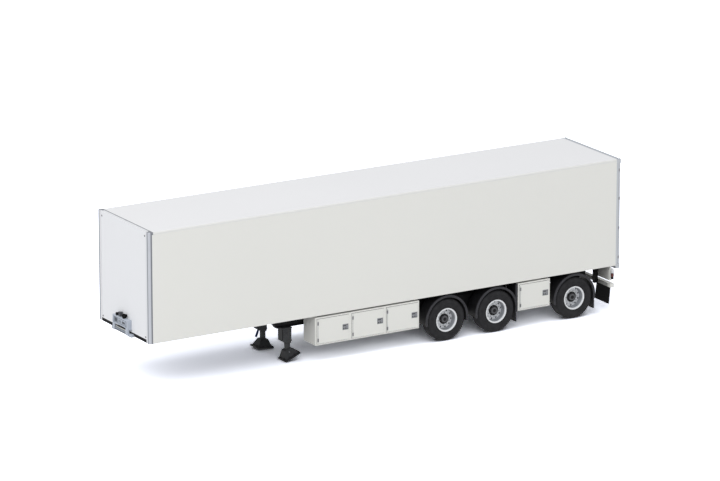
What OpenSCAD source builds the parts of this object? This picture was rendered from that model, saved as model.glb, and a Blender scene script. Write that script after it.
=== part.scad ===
// Box semi trailer with three axles, a 1:50 collector's scale model.
// X runs forward, Y to the left and Z up. The origin is on the ground, at the middle of
// the overall length and width. Places along the trailer are distances behind its front face.

/* [Box body] */
// Length from the front face to the rear edge of the side walls
body_len = 268.9; // [230:0.1:330]
// Width over the side walls
body_w = 51; // [42:0.1:62]
// Height of the box from the bottom of its side walls to the roof
box_h = 55.6; // [40:0.1:75]
// Thickness of the side and front walls
wall_t = 1.3; // [0.8:0.1:2]
// Thickness of the roof panel
roof_t = 1.3; // [0.8:0.1:2]
// Rounding of the long roof edges
roof_edge_r = 0.9; // [0.3:0.1:1.2]
// Thickness of the black deck under the load floor
deck_t = 1.3; // [0.8:0.1:2]
// Thickness of the load floor
load_floor_t = 1.2; // [0.8:0.1:2.5]

/* [Front wall] */
// Width of a corner post on the front face
post_face_w = 3; // [2:0.1:4]
// Width of a corner post on the side
post_side_w = 2; // [1.6:0.1:3]
// Rounding of a corner post
post_r = 0.9; // [0.3:0.1:1.5]
// Set-back of the front panel behind the posts
front_set = 0.15; // [0.05:0.05:0.3]
// Height of the header at the top of the front panel
header_h = 1.6; // [1:0.1:3]
// Length of the metal strip between header and roof
strip_len = 0.6; // [0.2:0.1:1]
// Side gap between the front panel and the posts
panel_fit = 0.05; // [0.02:0.01:0.1]

/* [Rear frame and doors] */
// Length of the rear frame along the trailer
frame_t = 1.2; // [0.8:0.1:2]
// Width of the frame's posts seen from behind
frame_face_w = 2.2; // [1.5:0.1:3]
// Height of the frame's header seen from behind
frame_header_h = 2.4; // [1.5:0.1:4]
// Drop of the frame and doors below the side walls
frame_drop = 1.6; // [0.8:0.1:2]
// Gap between the frame and a closed door
door_gap = 0.1; // [0.05:0.05:0.3]
// Thickness of a door
door_t = 1.15; // [0.8:0.05:2]
// Gap between the two doors
door_seam = 0.3; // [0.2:0.05:0.6]
// Set-back of a door's outer edges from the frame's outline
door_inset = 0.1; // [0.1:0.05:0.5]
// Width of the metal edging round a door
door_edging_w = 1.2; // [0.8:0.1:2]
// Set-back of a door's panel behind its edging
door_panel_set = 0.15; // [0.05:0.05:0.3]
// Height of the frame's lugs above and below a door's hinge post
lug_h = 2.3; // [1.5:0.1:3]
// Width of a lug
lug_w = 1.7; // [1.4:0.1:2.2]
// Radius of a hinge pin
hinge_pin_r = 0.3; // [0.2:0.01:0.32]
// Radial clearance of a hinge pin
hinge_clear = 0.04; // [0.02:0.01:0.08]
// Length of a hinge pin in the door
hinge_pin_len = 3; // [2:0.5:5]
// Gap between a lug and the door
lug_gap = 0.15; // [0.1:0.05:0.3]
// Radius of a lock bar
lock_bar_r = 0.33; // [0.25:0.01:0.36]

/* [Wheels] */
// Outer diameter of a tyre
tyre_d = 21.5; // [18:0.1:26]
// Width of a tyre
tyre_w = 7.7; // [5:0.1:9]
// Diameter of the rim where it seats the tyre
rim_d = 12.2; // [10:0.1:14]
// Thickness of the rim's barrel
rim_t = 0.6; // [0.4:0.05:0.8]
// Depth of the rim's edge inside the tyre's outer face
rim_set = 0.45; // [0.2:0.05:0.8]
// Depth of the wheel disc behind the rim's edge
disc_depth = 3.2; // [1.5:0.1:3.6]
// Thickness of the wheel disc
disc_t = 0.8; // [0.5:0.1:1.2]
// Diameter of the hub cap
hub_cap_d = 5.4; // [4:0.1:6]
// Height of the hub cap over the disc
hub_cap_h = 1; // [0.8:0.1:2]
// Radius of the axle's stub
stub_r = 1; // [0.8:0.05:1.4]
// Radial clearance of a wheel on its stub
stub_clear = 0.04; // [0.02:0.01:0.08]
// Distance of a tyre's outer face inside the side walls
tyre_inset = 0.5; // [0.3:0.1:2]

/* [Axles and suspension] */
// Distance of the last axle from the rear edge of the side walls
rear_overhang = 24.2; // [20:0.1:40]
// Distance between the second and the last axle
spread_rear = 46.6; // [44:0.1:60]
// Distance between the first and the second axle
spread_front = 29.2; // [27:0.1:40]
// Height and width of an axle beam
beam_w = 3; // [2.4:0.1:4]
// Diameter of a brake drum
drum_d = 7.6; // [6:0.1:9]
// Width of a brake drum
drum_w = 1.6; // [1:0.1:2]
// Distance of a suspension hanger in front of its axle
hanger_reach = 9; // [7:0.5:10]
// Distance of an air spring behind its axle
spring_reach = 7; // [5:0.5:8]
// Radius of an air spring
spring_r = 2.6; // [2:0.1:3]
// Width of a trailing arm
arm_w = 1.8; // [1.2:0.1:2.4]
// Height of a trailing arm
arm_h = 1.6; // [1.2:0.1:2]

/* [Chassis] */
// Distance of a rail's centre inside the side wall
rail_inset = 13.5; // [13:0.1:16]
// Depth of the rails behind the neck
rail_depth = 7.1; // [6:0.1:8]
// Depth of the rails in the neck
neck_depth = 2.4; // [2:0.1:4]
// Width of a rail's flanges
flange_w = 2.6; // [2:0.1:3]
// Thickness of a rail's flanges
flange_t = 0.6; // [0.4:0.1:1]
// Thickness of a rail's web
web_t = 0.8; // [0.5:0.1:1.2]
// Height of the room between the tyres and the deck
headroom = 2.9; // [2.2:0.1:5]
// Number of cross-members behind the legs
cross_members = 7; // [4:1:10]
// Radius of an air tank
tank_r = 2.7; // [2:0.1:3.2]

/* [Coupling] */
// Distance of the kingpin behind the front face
kingpin_d = 32; // [26:0.5:36]
// Radius of the kingpin
kingpin_r = 1; // [0.8:0.1:1.6]
// Length of the kingpin below its plate
kingpin_len = 3.6; // [2.5:0.1:5]
// Thickness of the coupling plate
coupling_plate_t = 0.8; // [0.5:0.1:1.2]

/* [Landing legs] */
// Distance of the legs' inner tubes behind the front face
leg_d = 84.3; // [80:0.1:90]
// Length of a leg's housing
housing_len = 5.5; // [4:0.1:6]
// Width of a leg's housing
housing_w = 4; // [3:0.1:4.5]
// Height of a leg's housing
housing_h = 8; // [5:0.1:9]
// Width of a leg's square inner tube
leg_tube_w = 2.2; // [1.6:0.1:2.4]
// Length of a foot
foot_len = 9.2; // [7:0.1:10]
// Width of a foot
foot_w = 8; // [5:0.1:9]
// Height of a foot below its pivot
foot_h = 3.4; // [2.5:0.1:4]
// Forward tilt of the left foot in degrees
left_foot_tilt = 23; // [0:1:25]
// Forward tilt of the right foot in degrees
right_foot_tilt = -6; // [-20:1:20]

/* [Lockers] */
// Gap between the landing legs and the front lockers
locker_leg_gap = 8.6; // [6:0.1:12]
// Gap between the front lockers and the first axle's mudguards
locker_guard_gap = 3.9; // [1:0.05:8]
// Gap between the second axle's mudguards and the rear lockers
rear_locker_gap = 0.2; // [0.2:0.05:3]
// Gap between the rear lockers and the last axle's mudguards
rear_locker_room = 2.5; // [1:0.05:6]
// Height of the lockers
locker_h = 14.3; // [9:0.1:15]
// Gap between the lockers and the box
locker_drop = 1; // [0.5:0.1:2]
// Distance of the lockers' faces inside the side walls
locker_inset = 0.7; // [0.5:0.1:2]
// Thickness of a locker door
locker_door_t = 0.35; // [0.2:0.05:0.6]
// Border of the lockers round their doors
locker_border = 0.9; // [0.5:0.1:1.5]
// Number of doors on the front lockers
locker_doors = 3; // [1:1:4]

/* [Mudguards] */
// Gap between a tyre's tread and its mudguard
guard_gap = 0.6; // [0.4:0.05:1]
// Thickness of a mudguard
guard_t = 0.45; // [0.3:0.05:0.8]
// Height of a mudguard's centre over its axle
guard_rise = 0.4; // [0:0.1:0.8]
// Height of the lower edges of the mudguards
guard_edge_z = 9; // [7:0.1:10]
// Height of the lower edges of the flaps
flap_z = 3.7; // [2:0.1:6]
// Height of the mudguard's outer lip
guard_lip = 0.6; // [0.1:0.05:0.8]

/* [Rear underside] */
// Distance of the light boards in front of the rear edge of the side walls
board_setback = 2.9; // [2:0.1:5]
// Thickness of a light board
board_t = 1.2; // [0.8:0.1:2]
// Height of a light board
board_h = 7; // [6:0.1:9]
// Width of a light board
board_w = 13.6; // [10:0.1:18]
// Gap between the light boards and the underrun bar
bar_gap = 1.5; // [0.1:0.1:3]
// Height of the underrun bar
bar_h = 2; // [1.5:0.1:3]
// Length of the underrun bar along the trailer
bar_len = 2.4; // [1.5:0.1:3]
// Height of the rear flaps
rear_flap_h = 8.6; // [5:0.1:10]
// Width of the rear flaps
rear_flap_w = 12.3; // [8:0.1:14]
// Forward lean of the rear flaps in degrees
rear_flap_lean = 6; // [0:1:10]
// Radius of a marker lamp
marker_r = 0.8; // [0.5:0.05:0.9]

/* [Front connections] */
// Width of the connection bracket
conn_w = 14.8; // [10:0.1:18]
// Distance that the bracket stands out from the front face
conn_out = 2.35; // [1.5:0.05:3]
// Height of the bracket's panel
conn_panel_h = 4; // [3:0.1:6]
// Height of the slot under the panel
conn_slot_h = 1.8; // [1:0.1:3]
// Length of the bracket's wings beside it
conn_wing = 2.4; // [1:0.1:4]

/* [Hidden] */
$fn = 64;

half_w = body_w / 2;
axle_z = tyre_d / 2;
body_bottom = tyre_d + headroom;
body_top = body_bottom + box_h;
deck_top = body_bottom + deck_t;
floor_top = deck_top + load_floor_t;
roof_z = body_top - roof_t;

// Places behind the front face
frame_end = body_len + frame_t;
door_in = frame_end + door_gap;
door_out = door_in + door_t;
hinge_d = door_in + door_t / 2;
lock_bar_d = door_out + lock_bar_r + 0.05;
rear_stack = lock_bar_d + lock_bar_r - body_len;
axle_3_d = body_len - rear_overhang;
axle_2_d = axle_3_d - spread_rear;
axle_1_d = axle_2_d - spread_front;
axle_places = [axle_1_d, axle_2_d, axle_3_d];
front_x = (body_len + rear_stack - conn_out) / 2;

// Side walls and what lies inside them
inner_y = half_w - wall_t;
post_y = half_w - post_face_w;
rail_y = half_w - rail_inset;
tyre_y = half_w - tyre_inset - tyre_w / 2;
tyre_in_y = tyre_y - tyre_w / 2;
locker_y = half_w - locker_inset;
rail_edge_y = rail_y + flange_w / 2;

// Rails
rail_z = body_bottom - rail_depth;
neck_z = body_bottom - neck_depth;
rail_front_d = 4;
rail_end_d = body_len - 9.6;
neck_end_d = leg_d - 10.3;
drop_end_d = leg_d - 6.3;
coupling_z = neck_z - coupling_plate_t;
member_w = 2;

// Doors
door_low = body_bottom - frame_drop + door_inset;
door_high = body_top - door_inset;
door_y = half_w - door_inset;
hinge_y = door_y - door_t / 2;
frame_low = body_bottom - frame_drop;
lug_in_y = half_w - lug_w;
lock_handle_len = 5;
lock_bar_places = [door_seam / 2 + lock_handle_len + 0.45, half_w - 6.6];

// Wheels, in the wheel's own frame with its outer side up
rim_edge = tyre_w / 2 - rim_set;
disc_top = rim_edge - disc_depth;
stub_end = disc_top + 0.3;
rim_seat_r = rim_d / 2;
drum_y = tyre_in_y - 0.3;

// Lockers
locker_top = body_bottom - locker_drop;
locker_low = locker_top - locker_h;
guard_in_r = tyre_d / 2 + guard_gap;
guard_out_r = guard_in_r + guard_t;
guard_reach = guard_out_r + guard_lip;
front_locker_d = leg_d + locker_leg_gap;
front_locker_end = axle_1_d - guard_reach - locker_guard_gap;
rear_locker_d = axle_2_d + guard_reach + rear_locker_gap;
rear_locker_end = axle_3_d - guard_reach - rear_locker_room;

// Mudguards
guard_in_y = tyre_in_y - 0.7;
guard_out_y = half_w - tyre_inset;

// Rear underside
board_d = body_len - board_setback;
board_top = body_bottom - 0.8;
board_low = board_top - board_h;
board_out_y = half_w - 0.9;
bar_y = half_w - 0.3;
bar_top = board_low - bar_gap;
bar_low = bar_top - bar_h;

// A block between two places behind the front face
module block(d0, d1, y0, y1, z0, z1) {
    translate([front_x - d1, y0, z0])
        cube([d1 - d0, y1 - y0, z1 - z0]);
}

// The children and their mirror image on the other side
module both_sides() {
    children();
    mirror([0, 1, 0])
        children();
}

// A plate whose outline is drawn in X and Z, as thick as w about the plane Y = y
module upright_plate(y, w, points) {
    translate([0, y, 0])
        rotate([90, 0, 0])
            linear_extrude(w, center = true)
                polygon(points);
}

// A round bar along Y
module cross_bar(d, z, y0, y1, r) {
    translate([front_x - d, y0, z])
        rotate([-90, 0, 0])
            cylinder(h = y1 - y0, r = r);
}

// ---------- Box body ----------

module chassis_deck() {
    color([0.06, 0.06, 0.07]) {
        block(front_set, post_side_w, -post_y + panel_fit, post_y - panel_fit,
              body_bottom, deck_top);
        block(post_side_w, body_len, -inner_y, inner_y, body_bottom, deck_top);
    }
}

module load_floor() {
    color([0.62, 0.63, 0.64])
        block(post_side_w, body_len, -inner_y, inner_y, deck_top, floor_top);
}

module front_wall() {
    color([0.92, 0.92, 0.93]) {
        block(front_set, front_set + wall_t, -post_y + panel_fit, post_y - panel_fit,
              deck_top, body_top - front_set);
        block(front_set, post_side_w, -post_y + panel_fit, post_y - panel_fit,
              body_top - header_h, body_top - front_set);
    }
}

// One silver corner post, with its outer vertical edge rounded
module corner_post() {
    translate([front_x - post_side_w, 0, body_bottom])
        linear_extrude(box_h) {
            translate([0, post_y])
                square([post_side_w - post_r, post_face_w]);
            translate([0, post_y])
                square([post_side_w, post_face_w - post_r]);
            translate([post_side_w - post_r, half_w - post_r])
                circle(post_r);
        }
}

module front_frame() {
    color([0.66, 0.68, 0.70]) {
        both_sides()
            corner_post();
        block(post_side_w, post_side_w + strip_len, -half_w, half_w, roof_z, body_top);
    }
}

module side_wall() {
    color([0.92, 0.92, 0.90])
        block(post_side_w, body_len, inner_y, half_w, body_bottom, roof_z);
}

module left_side_wall() {
    side_wall();
}

module right_side_wall() {
    mirror([0, 1, 0])
        side_wall();
}

// The roof's cross-section, with its upper corners rounded
module roof_section() {
    intersection() {
        translate([-half_w, 0])
            square([body_w, roof_t]);
        union() {
            translate([-half_w, 0])
                square([body_w, roof_t - roof_edge_r]);
            translate([-half_w + roof_edge_r, 0])
                square([body_w - 2 * roof_edge_r, roof_t]);
            for (side = [-1, 1])
                translate([side * (half_w - roof_edge_r), roof_t - roof_edge_r])
                    circle(roof_edge_r);
        }
    }
}

module roof() {
    roof_len = body_len - post_side_w - strip_len;
    color([0.94, 0.94, 0.95])
        translate([front_x - body_len, 0, roof_z])
            rotate([90, 0, 90])
                linear_extrude(roof_len)
                    roof_section();
}

// ---------- Rear frame and doors ----------

// A lug at a rear corner with its pin, which points up from z, or down
module hinge_lug(z, up) {
    pin_h = lug_h + hinge_pin_len;
    block(frame_end, door_out, lug_in_y, half_w, up ? z : z - lug_h, up ? z + lug_h : z);
    translate([front_x - hinge_d, hinge_y, up ? z : z - pin_h])
        cylinder(h = pin_h, r = hinge_pin_r);
}

module rear_frame() {
    notch_w = 1.1;
    color([0.66, 0.68, 0.70])
        difference() {
            union() {
                block(body_len, frame_end, -half_w, half_w, frame_low, body_top);
                both_sides() {
                    hinge_lug(frame_low, true);
                    hinge_lug(body_top, false);
                }
            }
            block(body_len - 1, frame_end + 1, -half_w + frame_face_w, half_w - frame_face_w,
                  floor_top, body_top - frame_header_h);
            both_sides()
                translate([front_x - hinge_d + notch_w / 3, half_w - lug_w / 2, body_top])
                    rotate([0, 45, 0])
                        cube([notch_w, 2 * lug_w, notch_w], center = true);
        }
}

// Room in a door for a lug, past the reach of its corners
module lug_room(z0, z1) {
    block(door_in - 1, door_out + 1, hinge_y - lug_w, half_w + 1, z0, z1);
}

// A door's metal edging, with a round hinge post on its outer edge
module door_edging() {
    color([0.66, 0.68, 0.70])
        difference() {
            union() {
                block(door_in, door_out, door_seam / 2, hinge_y, door_low, door_high);
                translate([front_x - hinge_d, hinge_y, door_low])
                    cylinder(h = door_high - door_low, r = door_t / 2);
            }
            block(door_in - 1, door_out + 1, door_seam / 2 + door_edging_w,
                  door_y - door_edging_w, door_low + door_edging_w, door_high - door_edging_w);
            lug_room(door_low - 1, frame_low + lug_h + lug_gap);
            lug_room(body_top - lug_h - lug_gap, door_high + 1);
            translate([front_x - hinge_d, hinge_y, door_low - 1])
                cylinder(h = lug_h + hinge_pin_len + 1.5, r = hinge_pin_r + hinge_clear);
            translate([front_x - hinge_d, hinge_y, body_top - lug_h - hinge_pin_len - 0.5])
                cylinder(h = lug_h + hinge_pin_len + 1.5, r = hinge_pin_r + hinge_clear);
        }
}

module door_panel() {
    color([0.92, 0.92, 0.90])
        difference() {
            block(door_in, door_out - door_panel_set, door_seam / 2 + door_edging_w,
                  door_y - door_edging_w, door_low + door_edging_w, door_high - door_edging_w);
            lug_room(door_low, frame_low + lug_h + lug_gap);
            lug_room(body_top - lug_h - lug_gap, door_high);
        }
}

// Lock bars with their guides and handles
module door_locks() {
    guide_h = 1.2;
    guide_w = 1.6;
    bar_margin = 0.5;
    bar_len = door_high - door_low - 2 * bar_margin;
    handle_z = door_low + 0.28 * bar_len;
    handle_h = 0.7;
    color([0.72, 0.73, 0.75])
        for (y = lock_bar_places) {
            translate([front_x - lock_bar_d, y, door_low + bar_margin])
                cylinder(h = bar_len, r = lock_bar_r);
            for (share = [0, 0.5, 1])
                translate([0, y, door_low + bar_margin + share * (bar_len - guide_h)])
                    block(door_out, lock_bar_d, -guide_w / 2, guide_w / 2, 0, guide_h);
            block(lock_bar_d - handle_h / 3, lock_bar_d + handle_h / 3, y - lock_handle_len, y,
                  handle_z, handle_z + handle_h);
        }
}

module left_door_edging() {
    door_edging();
}

module left_door_panel() {
    door_panel();
}

module left_door_locks() {
    door_locks();
}

module right_door_edging() {
    mirror([0, 1, 0])
        door_edging();
}

module right_door_panel() {
    mirror([0, 1, 0])
        door_panel();
}

module right_door_locks() {
    mirror([0, 1, 0])
        door_locks();
}

// ---------- Chassis ----------

// Height of a rail's underside at a place behind the front face
function rail_low(d) =
    d <= neck_end_d ? neck_z
    : d >= drop_end_d ? rail_z
    : neck_z - (neck_z - rail_z) * (1 - cos(180 * (d - neck_end_d) / (drop_end_d - neck_end_d))) / 2;

drop_steps = 10;
rail_steps = concat([rail_front_d],
    [for (i = [0 : drop_steps]) neck_end_d + i * (drop_end_d - neck_end_d) / drop_steps],
    [rail_end_d]);

module rail() {
    lower = [for (d = rail_steps) [front_x - d, rail_low(d)]];
    lower_top = [for (i = [len(rail_steps) - 1 : -1 : 0])
        [front_x - rail_steps[i], rail_low(rail_steps[i]) + flange_t]];
    color([0.07, 0.07, 0.08]) {
        upright_plate(rail_y, web_t, concat(lower,
            [[front_x - rail_end_d, body_bottom], [front_x - rail_front_d, body_bottom]]));
        upright_plate(rail_y, flange_w, concat(lower, lower_top));
        block(rail_front_d, rail_end_d, rail_y - flange_w / 2, rail_y + flange_w / 2,
              body_bottom - flange_t, body_bottom);
    }
}

module left_rail() {
    rail();
}

module right_rail() {
    mirror([0, 1, 0])
        rail();
}

module cross_members() {
    web_y = rail_y - web_t / 2;
    first_d = leg_d + 4;
    last_d = rail_end_d - member_w;
    neck_member_z = neck_z + flange_t;
    color([0.07, 0.07, 0.08]) {
        for (d = [rail_front_d + 4, neck_end_d - 6])
            block(d, d + member_w, -web_y, web_y, neck_member_z, body_bottom - flange_t);
        for (i = [0 : cross_members - 1])
            block(first_d + i * (last_d - first_d) / (cross_members - 1),
                  first_d + i * (last_d - first_d) / (cross_members - 1) + member_w,
                  -web_y, web_y, rail_z + flange_t, rail_z + rail_depth * 0.6);
    }
}

module coupling_plate() {
    plate_front_d = 8;
    plate_len = 2 * (kingpin_d - plate_front_d);
    color([0.10, 0.10, 0.11])
        block(plate_front_d, plate_front_d + plate_len, -rail_edge_y, rail_edge_y,
              coupling_z, neck_z);
}

// A plain pin set against the underside of the plate
module kingpin() {
    color([0.55, 0.56, 0.58])
        translate([front_x - kingpin_d, 0, coupling_z - kingpin_len])
            cylinder(h = kingpin_len, r = kingpin_r);
}

// Two air tanks across the chassis, each hung under a cross-member
module air_tanks() {
    web_y = rail_y - web_t / 2;
    tank_len = 2 * web_y - 2.4;
    first_d = leg_d + 4;
    last_d = rail_end_d - member_w;
    pitch = (last_d - first_d) / (cross_members - 1);
    color([0.08, 0.08, 0.09])
        for (i = [1, 2])
            cross_bar(first_d + i * pitch + member_w / 2, rail_z + flange_t - tank_r,
                      -tank_len / 2, tank_len / 2, tank_r);
}

// ---------- Front connections ----------

conn_wall = 0.7;
conn_low = body_bottom + 0.2;
conn_bar_h = 1.6;
conn_slot_z = conn_low + conn_bar_h;
conn_panel_z = conn_slot_z + conn_slot_h;
conn_top = conn_panel_z + conn_panel_h;
conn_post_w = 1.9;
conn_front = -conn_out;

// A hollow bracket with a slot under its panel, and a low wing on each side
module connection_bracket() {
    half_conn = conn_w / 2;
    wing_top = conn_low + 0.8;
    bar_set = 0.35;
    color([0.60, 0.64, 0.68])
        difference() {
            union() {
                block(conn_front, front_set, -half_conn, half_conn, conn_low, conn_top);
                block(conn_front + conn_wall, front_set, -half_conn - conn_wing,
                      half_conn + conn_wing, conn_low - 0.6, wing_top);
            }
            block(conn_front - 1, front_set + 1, -half_conn + conn_post_w,
                  half_conn - conn_post_w, conn_slot_z, conn_panel_z);
            block(conn_front + conn_wall, front_set + 1, -half_conn + conn_wall,
                  half_conn - conn_wall, conn_low - 1, conn_top - 0.6);
            block(conn_front + conn_wall + 0.5, front_set + 1, -half_conn - 1, half_conn + 1,
                  wing_top, conn_panel_z - 1);
            block(conn_front - 1, conn_front + bar_set, -half_conn + conn_post_w,
                  half_conn - conn_post_w, conn_low - 1, conn_low + 1);
        }
}

// Two small couplings, one of them raised, and a large one on top of the bracket
module connectors() {
    color([0.05, 0.05, 0.06])
        for (c = [[-4, 0.8, 0], [-1.2, 0.8, 1], [2.8, 1.2, 0]]) {
            translate([front_x + conn_out - 0.3, c[0], conn_top + c[1] + c[2]])
                rotate([0, -90, 0])
                    cylinder(h = conn_out - 0.45, r = c[1]);
            if (c[2] > 0)
                block(conn_front + 1, conn_front + 1.8, c[0] - 0.4, c[0] + 0.4,
                      conn_top, conn_top + c[1] + c[2]);
        }
}

// ---------- Landing legs ----------

foot_top_h = 1.2;
pocket_clear = 0.05;
housing_front_d = leg_d - leg_tube_w / 2 - 3;
housing_low = rail_z - housing_h;
chamfer = 1.3;
rear_step = 0.7;

function pivot_z(tilt) = foot_h * cos(tilt) + foot_len / 2 * sin(abs(tilt));

module landing_leg(tilt) {
    rear_d = housing_front_d + housing_len;
    color([0.22, 0.22, 0.23]) {
        upright_plate(rail_y, housing_w, [
            [front_x - housing_front_d, rail_z],
            [front_x - housing_front_d, housing_low + chamfer],
            [front_x - housing_front_d - 2.3 * chamfer, housing_low],
            [front_x - leg_d - leg_tube_w / 4, housing_low],
            [front_x - rear_d, housing_low + rear_step],
            [front_x - rear_d, rail_z]]);
        translate([front_x - leg_d - leg_tube_w / 2, rail_y - leg_tube_w / 2, pivot_z(tilt)])
            cube([leg_tube_w, leg_tube_w, housing_low - pivot_z(tilt) + 1.2]);
    }
}

// A foot that rocks on its pivot: base plate and hollow pyramid round the tube's end
module foot(tilt) {
    plate_t = 0.6;
    skirt_len = foot_len - 1.4;
    skirt_w = foot_w - 1.4;
    neck_len = leg_tube_w + 1.6;
    neck_w = leg_tube_w + 1.4;
    top = foot_h + foot_top_h;
    color([0.22, 0.22, 0.23])
        difference() {
            translate([front_x - leg_d, rail_y, pivot_z(tilt)])
                rotate([0, tilt, 0])
                    translate([0, 0, -foot_h]) {
                        translate([-foot_len / 2, -foot_w / 2, 0])
                            cube([foot_len, foot_w, plate_t]);
                        intersection() {
                            rotate([90, 0, 0])
                                linear_extrude(foot_w, center = true)
                                    polygon([[-skirt_len / 2, 0], [skirt_len / 2, 0],
                                             [skirt_len / 2, plate_t + 0.4],
                                             [neck_len / 2, top], [-neck_len / 2, top],
                                             [-skirt_len / 2, plate_t + 0.4]]);
                            rotate([90, 0, 90])
                                linear_extrude(foot_len, center = true)
                                    polygon([[-skirt_w / 2, 0], [skirt_w / 2, 0],
                                             [skirt_w / 2, plate_t + 0.4],
                                             [neck_w / 2, top], [-neck_w / 2, top],
                                             [-skirt_w / 2, plate_t + 0.4]]);
                        }
                    }
            translate([front_x - leg_d - leg_tube_w / 2 - pocket_clear,
                       rail_y - leg_tube_w / 2 - pocket_clear, pivot_z(tilt) - pocket_clear])
                cube([leg_tube_w + 2 * pocket_clear, leg_tube_w + 2 * pocket_clear, top]);
        }
}

module left_landing_leg() {
    landing_leg(left_foot_tilt);
}

module right_landing_leg() {
    mirror([0, 1, 0])
        landing_leg(right_foot_tilt);
}

module left_foot() {
    foot(left_foot_tilt);
}

module right_foot() {
    mirror([0, 1, 0])
        foot(right_foot_tilt);
}

// Crank on the right leg's outer side, with its handle hanging down
module leg_crank() {
    crank_r = 0.6;
    shaft_len = 1.6;
    arm_len = 7.5;
    arm_lean = 22;
    crank_d = housing_front_d + housing_len - 0.8;
    crank_z = rail_z - 5.1;
    color([0.08, 0.12, 0.20])
        mirror([0, 1, 0]) {
            cross_bar(crank_d, crank_z, rail_y + housing_w / 2, rail_y + housing_w / 2 + shaft_len,
                      crank_r);
            translate([front_x - crank_d, rail_y + housing_w / 2 + shaft_len - crank_r, crank_z])
                rotate([0, 180 - arm_lean, 0])
                    cylinder(h = arm_len, r = crank_r);
        }
}

// ---------- Lockers ----------

module lockers() {
    color([0.92, 0.92, 0.90]) {
        block(front_locker_d, front_locker_end, rail_edge_y, locker_y, locker_low, locker_top);
        block(rear_locker_d, rear_locker_end, rail_edge_y, locker_y, locker_low, locker_top);
    }
}

module locker_door(d0, d1) {
    block(d0 + locker_border, d1 - locker_border, locker_y, locker_y + locker_door_t,
          locker_low + locker_border, locker_top - locker_border);
}

module locker_door_row() {
    door_pitch = (front_locker_end - front_locker_d) / locker_doors;
    color([0.93, 0.93, 0.91]) {
        for (i = [0 : locker_doors - 1])
            locker_door(front_locker_d + i * door_pitch, front_locker_d + (i + 1) * door_pitch);
        locker_door(rear_locker_d, rear_locker_end);
    }
}

module left_lockers() {
    lockers();
}

module right_lockers() {
    mirror([0, 1, 0])
        lockers();
}

module left_locker_doors() {
    locker_door_row();
}

module right_locker_doors() {
    mirror([0, 1, 0])
        locker_door_row();
}

// ---------- Mudguards ----------

// A mudguard over one wheel, with its stay to the rail; its flap hangs behind the tyre and
// its plate closes the side of the locker behind it
module mudguard(d, with_flap, with_plate) {
    stay_r = 0.6;
    guard_z = axle_z + guard_rise;
    difference() {
        union() {
            cross_bar(d, guard_z, guard_in_y, guard_out_y, guard_out_r);
            cross_bar(d, guard_z, guard_out_y - guard_lip, guard_out_y, guard_reach);
        }
        cross_bar(d, guard_z, guard_in_y - 1, guard_out_y + 1, guard_in_r);
        block(d - 2 * guard_out_r, d + 2 * guard_out_r, guard_in_y - 1, guard_out_y + 1,
              axle_z - 2 * guard_out_r, guard_edge_z);
    }
    if (with_flap)
        block(d + guard_in_r, d + guard_out_r, guard_in_y, guard_out_y, flap_z, axle_z);
    if (with_plate)
        block(d + guard_in_r, d + guard_reach, guard_in_y, guard_out_y, axle_z, locker_top - 0.2);
    cross_bar(d, guard_z + guard_out_r - stay_r + 0.1, rail_y + web_t / 2, guard_in_y + 0.3, stay_r);
}

module mudguard_row() {
    color([0.05, 0.05, 0.055]) {
        mudguard(axle_1_d, false, false);
        mudguard(axle_2_d, true, true);
        mudguard(axle_3_d, true, false);
    }
}

module left_mudguards() {
    mudguard_row();
}

module right_mudguards() {
    mirror([0, 1, 0])
        mudguard_row();
}

// ---------- Axles and suspension ----------

arm_z = axle_z + beam_w / 2;

module axle(d) {
    color([0.09, 0.09, 0.10])
        translate([front_x - d, 0, axle_z]) {
            cube([beam_w, 2 * (drum_y - drum_w), beam_w], center = true);
            rotate([-90, 0, 0])
                cylinder(h = 2 * (tyre_y + stub_end), r = stub_r, center = true);
            for (side = [-1, 1])
                translate([0, side * (drum_y - drum_w / 2), 0])
                    rotate([-90, 0, 0])
                        cylinder(h = drum_w, r = drum_d / 2, center = true);
        }
}

module axle_1() {
    axle(axle_1_d);
}

module axle_2() {
    axle(axle_2_d);
}

module axle_3() {
    axle(axle_3_d);
}

// A hanger under the rail and the trailing arm that rests on the axle beam
module suspension_arms() {
    hanger_len = 2.6;
    color([0.08, 0.08, 0.09])
        both_sides()
            for (d = axle_places) {
                block(d - hanger_reach - hanger_len / 2, d - hanger_reach + hanger_len / 2,
                      rail_y - arm_w / 2, rail_y + arm_w / 2, arm_z - 0.6, rail_z);
                block(d - hanger_reach, d + spring_reach + 1.5,
                      rail_y - arm_w / 2, rail_y + arm_w / 2, arm_z, arm_z + arm_h);
            }
}

module air_springs() {
    color([0.05, 0.05, 0.06])
        both_sides()
            for (d = axle_places)
                translate([front_x - d - spring_reach, rail_y, arm_z + arm_h])
                    cylinder(h = rail_z - arm_z - arm_h, r = spring_r);
}

// ---------- Rear underside ----------

// Upright brackets under the deck, which carry the light boards and the underrun bar
module rear_brackets() {
    bracket_w = 2;
    bracket_len = 2.1;
    bracket_y = board_out_y - board_w + bracket_w;
    color([0.07, 0.07, 0.08])
        both_sides()
            block(board_d - bracket_len, board_d, bracket_y - bracket_w / 2, bracket_y + bracket_w / 2,
                  bar_low, body_bottom);
}

module light_boards() {
    color([0.80, 0.80, 0.80])
        both_sides()
            block(board_d, board_d + board_t, board_out_y - board_w, board_out_y,
                  board_low, board_top);
}

module tail_lamps() {
    lamp_h = 3.4;
    lamp_w = 9;
    lamp_t = 0.6;
    lamp_z = board_low + 2.2;
    color([0.6, 0.05, 0.05])
        both_sides()
            block(board_d + board_t, board_d + board_t + lamp_t, board_out_y - 1.5 - lamp_w,
                  board_out_y - 1.5, lamp_z, lamp_z + lamp_h);
}

module underrun_bar() {
    color([0.90, 0.90, 0.90])
        block(board_d, board_d + bar_len, -bar_y, bar_y, bar_low, bar_top);
}

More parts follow.
